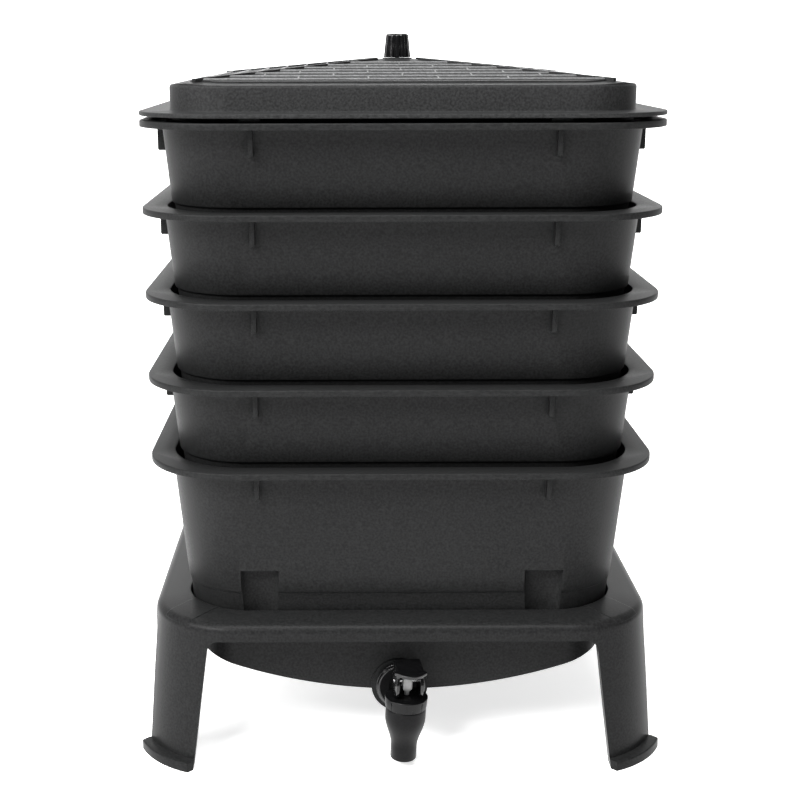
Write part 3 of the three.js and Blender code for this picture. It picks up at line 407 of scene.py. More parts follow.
def mesh_piece(name, points, faces):
    mesh = bpy.data.meshes.new(name)
    mesh.from_pydata(points, [], faces)
    shell = bmesh.new()
    shell.from_mesh(mesh)
    bmesh.ops.remove_doubles(shell, verts=shell.verts, dist=WELD)
    bmesh.ops.recalc_face_normals(shell, faces=shell.faces)
    shell.to_mesh(mesh)
    shell.free()
    return placed(name, mesh)


def stacked(name, rings):
    """A closed skin over rings with equal point counts."""
    count = len(rings[0])
    points = [point for ring in rings for point in ring]
    faces = []
    for level in range(len(rings) - 1):
        base = level * count
        for step in range(count):
            after = (step + 1) % count
            faces.append((base + step, base + after, base + count + after, base + count + step))
    faces.append(tuple(reversed(range(count))))
    faces.append(tuple(range((len(rings) - 1) * count, len(rings) * count)))
    return mesh_piece(name, points, faces)


def arc(x, y, width, height, start, end, steps):
    """Points round part of an ellipse, given by its centre and half axes."""
    angles = [start + (end - start) * step / steps for step in range(steps + 1)]
    return [(x + width * math.cos(angle), y + height * math.sin(angle)) for angle in angles]


def square_ring(half, corner, z):
    """A square with round corners, counter-clockwise."""
    ring = []
    for side in SIDES:
        turn = (side + 0.5) * QUARTER
        reach = math.sqrt(2) * (half - corner)
        x, y = reach * math.cos(turn), reach * math.sin(turn)
        ends = side * QUARTER, (side + 1) * QUARTER
        ring += [(*spot, z) for spot in arc(x, y, corner, corner, *ends, detail().corner_steps)]
    return ring


def block(sections, centre):
    """A loft of round-cornered squares, given as half width and height, about one set of corner centres."""
    return stacked("block", [square_ring(half, half - centre, z) for half, z in sections])


def straight_block(half, centre, low, high):
    return block([(half, low), (half, high)], centre)


def rounded_edge(half, z, radius, start, end):
    """Half widths and heights round an edge, the angles counted from outwards to up."""
    return arc(half, z, radius, radius, start, end, detail().round_steps)


def curve_spots(start, corner, end, steps):
    """Points on a quadratic curve, without its first."""
    start, corner, end = Vector(start), Vector(corner), Vector(end)
    shares = [step / steps for step in range(1, steps + 1)]
    return [
        tuple(start * (1 - share) ** 2 + corner * 2 * share * (1 - share) + end * share ** 2)
        for share in shares
    ]


def prism(outline, low, high):
    """An outline in X and Z carried along Y."""
    return stacked("prism", [[(x, y, z) for x, z in outline] for y in (low, high)])


def upright(outline, low, high):
    """An outline in X and Y carried up Z."""
    return stacked("prism", [[(x, y, z) for x, y in outline] for z in (low, high)])


def box(low, high):
    outline = [(low[0], low[1]), (high[0], low[1]), (high[0], high[1]), (low[0], high[1])]
    return upright(outline, low[2], high[2])


def turned(profile):
    """A profile of radius and height that starts and ends on the axis, turned about Z."""

    def ring(radius, z):
        return [(*spot, z) for spot in arc(0, 0, radius, radius, 0, TURN, detail().turned_steps)[:-1]]

    return stacked("turned", [ring(*spot) for spot in profile])


def rod(radius, low, high):
    return turned([(0, low), (radius, low), (radius, high), (0, high)])


def offset(x, y, z):
    return Matrix.Translation((x, y, z))


def spin(angle, axis):
    return Matrix.Rotation(angle, 4, axis)


def moved(piece, matrix):
    piece.data.transform(matrix)
    return piece


def cross_rod(radius, front, back, z, x=0):
    """A rod along Y."""
    turn = spin(-QUARTER, "X")
    return moved(rod(radius, front, back), offset(x, 0, z) @ turn)


def copy_of(piece, matrix):
    return moved(placed(piece.name, piece.data.copy()), matrix)


def repeated(piece, count, first=0):
    """Copies of a piece at even turns about Z, as one mesh of separate solids."""
    turns = [first + TURN * number / count for number in range(count)]
    copies = [copy_of(piece, spin(turn, "Z")) for turn in turns]
    drop(piece)
    return gathered(copies)


def around(make, shifts):
    """Copies of a piece on the four sides, at shifts along each side."""
    return gathered([repeated(make(shift), len(SIDES)) for shift in shifts])


def gathered(pieces):
    """Several separate solids as one mesh."""
    whole = bmesh.new()
    for piece in pieces:
        whole.from_mesh(piece.data)
        drop(piece)
    mesh = bpy.data.meshes.new("gathered")
    whole.to_mesh(mesh)
    whole.free()
    return placed("gathered", mesh)


def drop(piece):
    mesh = piece.data
    bpy.data.objects.remove(piece)
    bpy.data.meshes.remove(mesh)


def baked(piece):
    """The piece with its modifiers worked into its mesh."""
    bpy.context.view_layer.update()
    graph = bpy.context.evaluated_depsgraph_get()
    mesh = bpy.data.meshes.new_from_object(piece.evaluated_get(graph))
    old = piece.data
    piece.modifiers.clear()
    piece.data = mesh
    bpy.data.meshes.remove(old)
    return piece


def shaped(piece, operation, tools):
    for tool in tools:
        change = piece.modifiers.new(operation, "BOOLEAN")
        change.operation = operation
        change.solver = "MANIFOLD"
        change.object = tool
    baked(piece)
    for tool in tools:
        drop(tool)
    return piece


def joined(piece, *tools):
    return shaped(piece, "UNION", tools)


def cut(piece, *tools):
    return shaped(piece, "DIFFERENCE", tools)


def common(piece, *tools):
    return shaped(piece, "INTERSECT", tools)


def softened(piece, width, segments=3):
    """The piece with its sharp edges rounded."""
    bevel = piece.modifiers.new("soft edges", "BEVEL")
    bevel.limit_method = "ANGLE"
    bevel.angle_limit = BEVEL_ANGLE
    bevel.width = width
    bevel.segments = segments
    return baked(piece)


def surfaced(piece, material):
    """The piece in its material, smooth but for its sharp edges."""
    piece.data.materials.clear()
    piece.data.materials.append(material)
    piece.data.shade_smooth()
    piece.data.set_sharp_from_angle(angle=SHARP_ANGLE)


def finished(piece, name, body, node, material):
    """Names, shades and hands over a piece that stands for one CAD node."""
    piece.name = name
    piece.data.name = name
    cleaned = bmesh.new()
    cleaned.from_mesh(piece.data)
    bmesh.ops.remove_doubles(cleaned, verts=cleaned.verts, dist=2 * WELD)
    bmesh.ops.dissolve_degenerate(cleaned, edges=cleaned.edges, dist=2 * WELD)
    cleaned.to_mesh(piece.data)
    cleaned.free()
    surfaced(piece, material)
    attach(piece, body)
    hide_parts(node)


def refinished(node, material):
    """A CAD node that keeps its mesh and gets its finish."""
    surfaced(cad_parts[node], material)


# Trays and tank
def wall_half(depth):
    return BODY_HALF - WALL_LEAN_SHARE * depth


def rim_sections(low, top, foot):
    """Half widths and heights up a rim's outside, from insets and rises at its foot to its rounded top."""
    sections = [(RIM_HALF - inset, low + rise) for inset, rise in foot]
    return sections + rounded_edge(RIM_HALF - RIM_ROUND, top - RIM_ROUND, RIM_ROUND, 0, QUARTER)


def rim_block(top):
    """The flat plate with its turned-down lip and rounded edges."""
    low = top - RIM_LIP
    bend = LIP_FOOT_ROUND / 4
    foot = [(LIP_FOOT_ROUND, 0), (bend, bend), (0, LIP_FOOT_ROUND)]
    plate = block(rim_sections(low, top, foot), RIM_CENTRE)
    inner = RIM_HALF - LIP_WALL
    under = block([
        (inner, low - OVERRUN),
        (inner, top - RIM_PLATE - ROOT_FILLET / 2),
        (inner - ROOT_FILLET / 2, top - RIM_PLATE),
    ], RIM_CENTRE)
    return cut(plate, under)


def ribs(top):
    root = BODY_HALF - WALL / 2
    foot = top - RIB_DROP
    outline = [
        (root, top - RIM_PLATE / 2),
        (root - WALL_LEAN_SHARE * RIB_DROP, foot),
        *rounded_edge(RIB_REACH - RIB_ROUND, foot + RIB_ROUND, RIB_ROUND, -QUARTER, 0),
        (RIB_REACH, top - RIM_PLATE / 2),
    ]

    def rib(shift):
        return softened(prism(outline, shift - RIB_THICK / 2, shift + RIB_THICK / 2), RIB_BEAD, 2)

    return around(rib, (-RIB_OFFSET, RIB_OFFSET))


def niches(half_width, axis, back, low, high):
    """Half-round columns that stand in the walls."""
    mouth = BODY_HALF + OVERRUN
    hollow = arc(0, axis, half_width, axis - back, math.pi, TURN, 4 * detail().round_steps)
    outline = [(-half_width, mouth), *hollow, (half_width, mouth)]

    def column(shift):
        return upright([(x + shift, y) for x, y in outline], low, high)

    return around(column, (-RIB_OFFSET, RIB_OFFSET))


def step_spots(top, depth, step_in, inset):
    """The soft step in a wall."""
    under = wall_half(depth + step_in) - step_in - inset
    over = wall_half(depth) - inset
    steps = detail().round_steps
    spots = []
    for step in range(steps + 1):
        share = step / steps
        ease = share * share * (3 - 2 * share)
        spots.append((under + (over - under) * ease, top - depth - step_in * (1 - share)))
    return spots


def walls(top, outer_foot, inner_foot, depth, step_in):
    """The outside of a tray or the tank up to its rim, and the room inside it."""
    inner_half = BODY_HALF - WALL
    outer = block(
        outer_foot
        + step_spots(top, depth, step_in, 0)
        + [(BODY_HALF, top - RIM_PLATE - ROOT_FILLET), (BODY_HALF + ROOT_FILLET, top - RIM_PLATE / 2)],
        BODY_CENTRE,
    )
    inner = block(
        inner_foot
        + step_spots(top, depth, step_in, WALL)
        + [(inner_half, top - RIM_ROUND), (inner_half + RIM_ROUND / 3, top - RIM_ROUND / 3)]
        + [(inner_half + RIM_ROUND, top), (inner_half + RIM_ROUND, top + OVERRUN)],
        BODY_CENTRE,
    )
    return outer, inner


def tray(top):
    floor = top - TRAY_HEIGHT
    foot = wall_half(TRAY_HEIGHT) - TRAY_STEP_IN
    outer, inner = walls(
        top,
        rounded_edge(foot - FOOT_ROUND, floor + FOOT_ROUND, FOOT_ROUND, -QUARTER, 0),
        rounded_edge(foot - WALL - FOOT_ROUND, floor + TRAY_FLOOR + FOOT_ROUND, FOOT_ROUND, -QUARTER, 0),
        TRAY_STEP_DEPTH,
        TRAY_STEP_IN,
    )
    ledge = top - LEDGE_DEPTH
    axis = wall_half(LEDGE_DEPTH) - TRAY_STEP_IN
    back = axis - NICHE_DEPTH
    posts = niches(NICHE_HALF + WALL, axis, back - WALL, floor, ledge)
    hollows = niches(NICHE_HALF, axis, back, floor - OVERRUN, ledge - LEDGE_PLATE)
    shell = joined(outer, rim_block(top), ribs(top))
    return cut(shell, cut(inner, posts), hollows, floor_holes(floor))


def floor_holes(floor):
    half = FLOOR_HOLE / 2
    low, high = floor - OVERRUN, floor + TRAY_FLOOR + OVERRUN
    spots = [(number - (FLOOR_HOLE_ROWS - 1) / 2) * FLOOR_HOLE_PITCH for number in range(FLOOR_HOLE_ROWS)]
    return gathered([
        box((x - half, y - half, low), (x + half, y + half, high)) for y in spots for x in spots
    ])


def cradle(lift):
    """The space above the bowl's arched bottom, which falls to the front."""
    half = BOWL_HALF + OVERRUN
    radius = BOWL_RADIUS - lift
    spread = math.asin(half / radius)
    ends = -QUARTER - spread, spread - QUARTER
    bottom = arc(0, BOWL_FLOOR + BOWL_RADIUS, radius, radius, *ends, 4 * detail().corner_steps)
    piece = prism([(half, STAND_TOP), (-half, STAND_TOP), *bottom], 0, 2 * half)
    fall = spin(math.atan(BOWL_FALL / (2 * BOWL_HALF)), "X")
    back = offset(0, -half, BOWL_FLOOR)
    return moved(piece, back @ fall @ offset(0, 0, -BOWL_FLOOR))


def bowl(inset):
    top = SHOULDER + WALL + (OVERRUN if inset else -WALL / 2)
    sections = [(BOWL_FOOT_HALF - inset, BOWL_FLOOR - OVERRUN), (BOWL_HALF - inset, top)]
    return common(block(sections, BOWL_CENTRE), cradle(inset))


def well(inset):
    """The drum that takes the tap."""
    front = WELL_PLATE - WELL_FACE if inset else -WELL_FACE
    back = WELL_LENGTH - WELL_FACE - inset
    return cross_rod(WELL_RADIUS - inset, front, back, TAP_AXIS - WELL_SHIFT, -WELL_SHIFT)


def tank(top):
    shoulder = wall_half(top - SHOULDER) - TANK_STEP_IN
    feet = [(shoulder, SHOULDER)], [(shoulder - WALL, SHOULDER + WALL)]
    outer, inner = walls(top, *feet, TANK_STEP_DEPTH, TANK_STEP_IN)
    axis = wall_half(LEDGE_DEPTH)
    ledge = top - LEDGE_DEPTH
    posts = niches(NICHE_HALF + WALL, axis, BOWL_HALF - WALL, SHOULDER, ledge)
    hollows = niches(NICHE_HALF, axis, BOWL_HALF, SHOULDER - OVERRUN, ledge - LEDGE_PLATE)
    hole_ends = -WELL_FACE - OVERRUN, WELL_LENGTH / 2 - WELL_FACE
    shank_hole = cross_rod(SHANK_RADIUS + CLEARANCE, *hole_ends, TAP_AXIS)
    shell = joined(outer, bowl(0), well(0), rim_block(top), ribs(top))
    return cut(shell, cut(inner, posts), bowl(WALL), well(WALL), shank_hole, hollows)


# Stand
def stand_skin(inset, floor):
    """Legs and rail as one skin, with a broad round edge under the top."""
    middle = STAND_EDGE_HALF - STAND_EDGE_ROUND
    radius = STAND_EDGE_ROUND - inset
    rise = (STAND_TOP - STAND_EDGE - STAND_EDGE_ROUND) / (middle - STAND_TOP_HALF)
    full = QUARTER - math.atan(rise)
    edge = arc(middle, STAND_EDGE, radius, radius, 0, full, 3 * detail().round_steps)
    ends = (STAND_FLOOR_HALF - inset, floor), (STAND_TOP_HALF - inset, STAND_TOP - inset)
    return block([ends[0], *edge, ends[1]], LEG_CENTRE)


def arch_outline(grow):
    floor_half = ARCH_FLOOR_HALF + grow
    top_half = ARCH_TOP_HALF + grow
    top = ARCH_TOP + grow
    lean = (floor_half - top_half) / top
    start = (top_half + lean * ARCH_FILLET, top - ARCH_FILLET)
    fillet = curve_spots(start, (top_half, top), (top_half - ARCH_FILLET, top), 2 * detail().round_steps)
    right = [(floor_half + lean * OVERRUN, -OVERRUN), start, *fillet]
    return right + [(-x, z) for x, z in reversed(right)]


def arches(grow):
    reach = FOOT_HALF + OVERRUN
    through = prism(arch_outline(grow), -reach, reach)
    across = copy_of(through, spin(QUARTER, "Z"))
    return joined(through, across)


def foot_pads():
    spots = rounded_edge(FOOT_HALF - FOOT_EDGE, FOOT_HEIGHT - FOOT_EDGE, FOOT_EDGE, 0, QUARTER)
    pads = block([(FOOT_HALF, 0), *spots], FOOT_CENTRE)
    hollow = straight_block(FOOT_INNER_HALF, FOOT_CENTRE, -OVERRUN, FOOT_HEIGHT + OVERRUN)
    rise = math.sqrt((FOOT_HALF - FOOT_CENTRE) ** 2 - (ARCH_FLOOR_HALF - FOOT_CENTRE) ** 2)
    start = FOOT_CENTRE + rise - ARCH_FLOOR_HALF - FOOT_TIP
    outline = [(0, start), (FOOT_HALF, start + FOOT_HALF), (-FOOT_HALF, start + FOOT_HALF)]
    wedge = upright(outline, -OVERRUN, FOOT_HEIGHT + OVERRUN)
    return cut(pads, hollow, repeated(wedge, len(SIDES)))


def stiffeners():
    top = STAND_TOP - STAND_WALL
    outline = [
        (MOUTH_HALF + STAND_WALL / 2, ARCH_TOP),
        (STAND_EDGE_HALF - STAND_WALL / 2, ARCH_TOP),
        (STAND_EDGE_HALF - STAND_WALL / 2, STAND_EDGE),
        (STAND_TOP_HALF + STAND_WALL / 2, top),
        (MOUTH_HALF + STAND_WALL / 2, top),
    ]

    def plate(shift):
        return prism(outline, shift - STAND_WALL / 2, shift + STAND_WALL / 2)

    return around(plate, (-STIFFENER_OFFSET, STIFFENER_OFFSET))


def corner_strips():
    """Bands across the shelf's corners, where the moulding stands a hair proud."""
    low = (0, -CREASE_OFFSET, STAND_EDGE + STAND_EDGE_ROUND / 2)
    bar = box(low, (2 * STAND_EDGE_HALF, CREASE_OFFSET, STAND_TOP + OVERRUN))
    return repeated(bar, len(SIDES), QUARTER / 2)


def stand():
    core = block([
        (STAND_FLOOR_HALF - RETURN_DEPTH, -OVERRUN),
        (STAND_EDGE_HALF - RETURN_DEPTH, STAND_EDGE),
        (STAND_EDGE_HALF - RETURN_DEPTH, STAND_TOP + OVERRUN),
    ], LEG_CENTRE)
    band = cut(arches(RETURN_WALL), arches(0))
    returns = common(cut(stand_skin(0, 0), core), band)
    skin = joined(stand_skin(0, 0), common(stand_skin(-CREASE_RISE, 0), corner_strips()))
    shell = cut(skin, stand_skin(STAND_WALL, -OVERRUN), arches(0))
    collar = straight_block(MOUTH_HALF + STAND_WALL, MOUTH_CENTRE, ARCH_TOP, STAND_TOP - STAND_WALL / 2)
    mouth = straight_block(MOUTH_HALF, MOUTH_CENTRE, ARCH_TOP + STAND_WALL, STAND_TOP + OVERRUN)
    opening = straight_block(LEDGE_HALF, BOWL_CENTRE, ARCH_TOP - OVERRUN, STAND_TOP + OVERRUN)
    pads = cut(foot_pads(), arches(0))
    return cut(joined(shell, returns, collar, stiffeners(), pads), mouth, opening)


# Lid
def roof_block(rise, half):
    """The part of a low pyramid, raised from the roof's plane, that stands over a rounded square."""
    apex = ROOF_APEX + rise
    fall = ROOF_APEX - BAND_TOP + LID_WALL + abs(rise)
    reach = fall / ROOF_SLOPE_SHARE
    points = [(x * reach, y * reach, apex - fall) for x, y in CORNERS] + [(0, 0, apex)]
    faces = [(3, 2, 1, 0)] + [(side, (side + 1) % 4, 4) for side in SIDES]
    post = straight_block(half, BAND_CENTRE, BAND_TOP - 2 * LID_WALL, ROOF_APEX + LID_WALL)
    return common(mesh_piece("roof", points, faces), post)


def roof_height(half):
    """The panel's height at a distance from the middle, square to the eaves."""
    return ROOF_APEX + PANEL_RISE - ROOF_SLOPE_SHARE * half


def course_frame(half):
    floor = roof_height(half) - GROOVE_DEPTH
    out = half + GROOVE_WIDTH / 2
    into = half - GROOVE_WIDTH / 2
    top = ROOF_APEX + OVERRUN
    return cut(
        box((-out, -out, floor), (out, out, top)),
        box((-into, -into, floor - OVERRUN), (into, into, top + OVERRUN)),
    )


def tile_joints():
    """Short raised joints across each course, shifted by half a tile from one row to the next."""
    spots = []
    for row, eaves in enumerate(COURSES):
        inner = eaves - TILE_PITCH + GROOVE_WIDTH / 2
        first = 0 if row % 2 else TILE_LENGTH / 2
        count = int((inner - first) / TILE_LENGTH) + 1
        steps = [first + number * TILE_LENGTH for number in range(count)]
        places = {round(sign * step, 5) for step in steps for sign in (-1, 1)}
        reach = inner - 2 * RIDGE_WIDTH
        spots += [(place, eaves - GROOVE_WIDTH / 2, inner) for place in sorted(places) if abs(place) < reach]

    def joint(spot):
        place, outer, inner = spot
        edges = ((outer, -1), (outer, 1), (inner, 1), (inner, -1))
        outline = [(half, roof_height(half) + side * JOINT_RISE) for half, side in edges]
        return softened(prism(outline, place - JOINT_WIDTH / 2, place + JOINT_WIDTH / 2), JOINT_RISE / 2, 2)

    return around(joint, spots)


def square_hoop(section):
    """A closed section of half width and height, carried round a square."""
    count = len(section)
    points = [(x * half, y * half, z) for x, y in CORNERS for half, z in section]
    faces = []
    for side in SIDES:
        base = side * count
        after = (side + 1) % 4 * count
        for step in range(count):
            other = (step + 1) % count
            faces.append((base + step, after + step, after + other, base + other))
    return mesh_piece("hoop", points, faces)


def lip_beads():
    """The rounded lip of each course, just above its groove."""
    hoops = []
    for eaves in COURSES:
        middle = eaves - (GROOVE_WIDTH + LIP_BEAD_WIDTH) / 2
        bead = arc(middle, 0, LIP_BEAD_WIDTH / 2, LIP_BEAD_RISE, 0, math.pi, LIP_BEAD_STEPS)
        section = [(half, roof_height(half) + rise) for half, rise in bead]
        low = roof_height(middle) - LIP_BEAD_RISE
        section += [(middle - LIP_BEAD_WIDTH / 2, low), (middle + LIP_BEAD_WIDTH / 2, low)]
        hoops.append(square_hoop(section))
    return gathered(hoops)


def ridges():
    """The bars that cover the four hips, from the panel's corners to the knob's pad."""
    outer = math.sqrt(2) * PANEL_HALF - 2 * RIDGE_WIDTH
    half = RIDGE_WIDTH / 2
    bar = softened(box((2 * BOSS_RADIUS, -half, -RIDGE_RISE), (outer, half, RIDGE_RISE)), RIDGE_RISE / 4)
    slope = spin(math.atan(ROOF_SLOPE_SHARE / math.sqrt(2)), "Y")
    return repeated(moved(bar, offset(0, 0, roof_height(0)) @ slope), len(SIDES), QUARTER / 2)


def flange_block():
    foot = [(LIP_FOOT_ROUND, 0), (0, LIP_FOOT_ROUND)]
    return block(rim_sections(LID_BOTTOM, LID_BOTTOM + LID_FLANGE, foot), RIM_CENTRE)


def lid():
    top = LID_BOTTOM + LID_FLANGE
    low = LID_BOTTOM - LID_GAP - LID_SKIRT
    room_half = BAND_HALF - LID_WALL
    skirt = straight_block(BAND_HALF, BODY_CENTRE, low, LID_BOTTOM + LID_FLANGE / 2)
    band = block(
        [(BAND_HALF + ROOT_FILLET, LID_BOTTOM + LID_FLANGE / 2), (BAND_HALF + ROOT_FILLET, top)]
        + [(BAND_HALF + ROOT_FILLET / 4, top + ROOT_FILLET / 3), (BAND_HALF, top + ROOT_FILLET)]
        + rounded_edge(BAND_HALF - BAND_ROUND, BAND_TOP - BAND_ROUND, BAND_ROUND, 0, QUARTER),
        BAND_CENTRE,
    )
    panel = cut(roof_block(PANEL_RISE, PANEL_HALF), gathered([course_frame(half) for half in COURSES]))
    roof = joined(roof_block(0, ROOF_HALF), panel, ridges())
    room = joined(
        straight_block(room_half, BODY_CENTRE, low - OVERRUN, top),
        straight_block(room_half, BAND_CENTRE, top - MM, BAND_TOP - LID_WALL),
    )
    attic = roof_block(-LID_WALL, ROOF_HALF - LID_WALL)
    boss = rod(BOSS_RADIUS, ROOF_PAD - BOSS_HEIGHT, ROOF_PAD)
    hole = rod(BOSS_HOLE_RADIUS, ROOF_PAD - BOSS_HEIGHT - OVERRUN, ROOF_PAD + OVERRUN)
    shell = cut(joined(flange_block(), skirt, band, roof), joined(room, attic))
    return cut(joined(shell, boss, spacers()), hole)


def spacers():
    def pad(shift):
        half = SPACER_LENGTH / 2
        low = (shift - half, SPACER_CENTRE - SPACER_WIDTH / 2, TOP_RIM + CLEARANCE)
        return box(low, (shift + half, SPACER_CENTRE + SPACER_WIDTH / 2, LID_BOTTOM + LID_FLANGE / 2))

    return around(pad, (-RIB_OFFSET, RIB_OFFSET))


def knob():
    low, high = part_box("lid_knob")
    steps = KNOB_FLUTE_STEPS * KNOB_FLUTES

    def fluted(radius, z, depth):
        ring = []
        for step in range(steps):
            angle = TURN * step / steps
            flute = (0.5 - 0.5 * math.cos(KNOB_FLUTES * angle)) ** KNOB_FLUTE_SHARPNESS
            reach = radius - depth * flute
            ring.append((reach * math.cos(angle), reach * math.sin(angle), z))
        return ring

    rings = [
        fluted(high.x - CLEARANCE, low.z, KNOB_FLUTE_DEPTH),
        fluted(high.x, low.z + KNOB_FOOT, KNOB_FLUTE_DEPTH),
    ]
    for out, up in arc(0, 0, 1, 1, 0, QUARTER, 3 * detail().round_steps):
        radius = KNOB_TOP_RADIUS - KNOB_ROUND * (1 - out)
        rings.append(fluted(radius, high.z - KNOB_ROUND * (1 - up), KNOB_FLUTE_DEPTH * out))
    bore = rod(KNOB_BORE_RADIUS, low.z - OVERRUN, low.z + KNOB_BORE_DEPTH)
    return cut(stacked("knob", rings), bore)


# Tap
def in_tap(piece):
    """Moves a piece made about the barrel's axis to its place on the tank."""
    return moved(
        piece,
        offset(0, 0, TAP_AXIS)
        @ spin(TAP_TILT, "Y")
        @ offset(0, -FLANGE_FRONT, -TAP_AXIS)
        @ spin(TAP_TURN, "Z")
        @ offset(0, -BARREL_REACH, 0),
    )


def barrel_profile():
    edge = SPOUT_EDGE
    profile = [(0, SPOUT_END), *rounded_edge(SPOUT_RADIUS - edge, SPOUT_END + edge, edge, -QUARTER, 0)]
    for step in range(OGEE_STEPS + 1):
        share = step / OGEE_STEPS
        swing = (1 - math.cos(math.pi * share)) / 2
        radius = SPOUT_RADIUS + (BARREL_RADIUS - SPOUT_RADIUS) * swing
        profile.append((radius, OGEE_BOTTOM + (OGEE_TOP - OGEE_BOTTOM) * share))
    collar = CAP_TOP - CAP_HEIGHT - CLEARANCE
    profile += rounded_edge(BARREL_RADIUS - CAP_EDGE, collar - CAP_EDGE, CAP_EDGE, 0, QUARTER)
    return profile + [(BARREL_NECK_RADIUS, collar), (BARREL_NECK_RADIUS, NECK_TOP), (0, NECK_TOP)]


def tap_flange():
    """The two-step flange, its edges rounded."""
    edge = CAP_EDGE
    profile = [(0, 0)]
    profile += rounded_edge(FLANGE_RADIUS - edge, edge, edge, -QUARTER, 0)
    profile += rounded_edge(FLANGE_RADIUS - edge, FLANGE_STEP - edge, edge, 0, QUARTER)
    profile += rounded_edge(FLANGE_FACE_RADIUS - edge, FLANGE_THICK - edge, edge, 0, QUARTER)
    profile += [(0, FLANGE_THICK)]
    face = offset(0, -FLANGE_BACK, TAP_AXIS) @ spin(QUARTER, "X")
    hole = cross_rod(SHANK_RADIUS, -FLANGE_FRONT - OVERRUN, OVERRUN - FLANGE_BACK, TAP_AXIS)
    return cut(moved(turned(profile), face), hole)


def flange_face():
    """The grained face inside the flange's polished rings."""
    front = -FLANGE_FRONT - CLEARANCE / 3
    face = cross_rod(FLANGE_FACE_RADIUS - 2 * CAP_EDGE, front, CLEARANCE - FLANGE_FRONT, TAP_AXIS)
    return cut(face, cross_rod(SHANK_RADIUS, front - OVERRUN, OVERRUN - FLANGE_FRONT, TAP_AXIS))


def tap_body():
    back = SHANK_LENGTH - FLANGE_BACK
    reach = BARREL_REACH + FLANGE_THICK
    neck = in_tap(cross_rod(NECK_RADIUS, 0, reach - FLANGE_THICK / 2, NECK_AXIS))
    shank = cross_rod(SHANK_RADIUS, -FLANGE_BACK - FLANGE_THICK / 2, back, TAP_AXIS)
    return cut(
        joined(shank, in_tap(turned(barrel_profile())), neck),
        cross_rod(SHANK_BORE_RADIUS, -FLANGE_BACK, back + OVERRUN, TAP_AXIS),
        in_tap(cross_rod(NECK_BORE_RADIUS, 0, reach + OVERRUN, NECK_AXIS)),
        in_tap(rod(CHAMBER_RADIUS, CHAMBER_FLOOR, NECK_TOP + OVERRUN)),
        in_tap(rod(SEAT_BORE_RADIUS, CHAMBER_FLOOR - SEAT_THICK - OVERRUN, CHAMBER_FLOOR + OVERRUN)),
        in_tap(rod(SPOUT_BORE_RADIUS, SPOUT_END - OVERRUN, CHAMBER_FLOOR - SEAT_THICK)),
    )


def tap_cap():
    low = CAP_TOP - CAP_HEIGHT
    side = CAP_RADIUS - CAP_EDGE
    profile = [(0, low), (side - CLEARANCE, low), (side, low + CLEARANCE)]
    profile += rounded_edge(side, CAP_TOP - CAP_EDGE, CAP_EDGE, 0, QUARTER)
    profile.append((CAP_CROWN_RADIUS + CAP_EDGE, CROWN_TOP - CLEARANCE))
    profile += [(CAP_CROWN_RADIUS, CROWN_TOP), (0, CROWN_TOP)]
    socket = rod(BARREL_NECK_RADIUS + CLEARANCE, low - OVERRUN, DISC_UNDER)
    stem_hole = rod(STEM_RADIUS + CLEARANCE, DISC_UNDER - OVERRUN, CROWN_TOP + OVERRUN)
    half = NECK_RADIUS + CLEARANCE
    notch = box((-half, 0, low - OVERRUN), (half, CAP_RADIUS + OVERRUN, DISC_UNDER))
    return in_tap(cut(turned(profile), socket, stem_hole, notch, cap_slots(low)))


def cap_slots(low):
    """Shallow upright slots round the cap's ring, and one small catch near its front."""

    def slot(width, bottom, top):
        return box((-width / 2, -CAP_RADIUS - OVERRUN, bottom), (width / 2, CAP_SLOT_DEPTH - CAP_RADIUS, top))

    slots = repeated(slot(CAP_SLOT_WIDTH, low - OVERRUN, CAP_TOP - 2 * CAP_EDGE), CAP_SLOTS, CAP_SLOT_TURN)
    catch = slot(CAP_CATCH, low + CAP_EDGE, low + CAP_EDGE + CAP_CATCH)
    return gathered([slots, moved(catch, spin(CAP_CATCH_TURN, "Z"))])


def tap_stem():
    seat_top = CHAMBER_FLOOR + CLEARANCE + CUP_HEIGHT

    def level(share, z):
        return [(-x * share * STEM_HEAD_WIDTH / 2, -y * share * STEM_HEAD_DEPTH / 2, z) for x, y in CORNERS]

    shoulder = STEM_HEAD_BOTTOM + STEM_CONE
    levels = (STEM_CONE_SHARE, STEM_HEAD_BOTTOM), (1, shoulder), (1, STEM_HEAD_TOP)
    head = softened(stacked("head", [level(share, z) for share, z in levels]), STEM_EDGE)
    stem = joined(rod(STEM_RADIUS, seat_top - CUP_SOCKET + CLEARANCE, shoulder), head)
    return in_tap(cut(stem, pin_rod(PIN_HOLE_RADIUS, STEM_HEAD_WIDTH)))


def pin_rod(radius, half_length):
    lie = offset(0, 0, PIN_AXIS) @ spin(QUARTER, "Y")
    return moved(rod(radius, -half_length, half_length), lie)


def paddle_outline():
    shoulder = (PADDLE_REAR_HALF, -PADDLE_SHOULDER)
    side_end = (PADDLE_FRONT_HALF, PADDLE_ROUND - PADDLE_CORNER)
    front_start = (PADDLE_FRONT_HALF - PADDLE_ROUND, -PADDLE_CORNER - PADDLE_ROUND / 2)
    right = [(PADDLE_REAR_HALF, PADDLE_REAR), shoulder]
    right += curve_spots(shoulder, (PADDLE_REAR_HALF, side_end[1]), side_end, PADDLE_STEPS)
    right += curve_spots(side_end, (PADDLE_FRONT_HALF, -PADDLE_CORNER), front_start, PADDLE_CORNER_STEPS)
    right += curve_spots(front_start, (front_start[0] / 2, -PADDLE_FRONT), (0, -PADDLE_FRONT), PADDLE_STEPS)
    return right + [(-x, y) for x, y in reversed(right[:-1])]


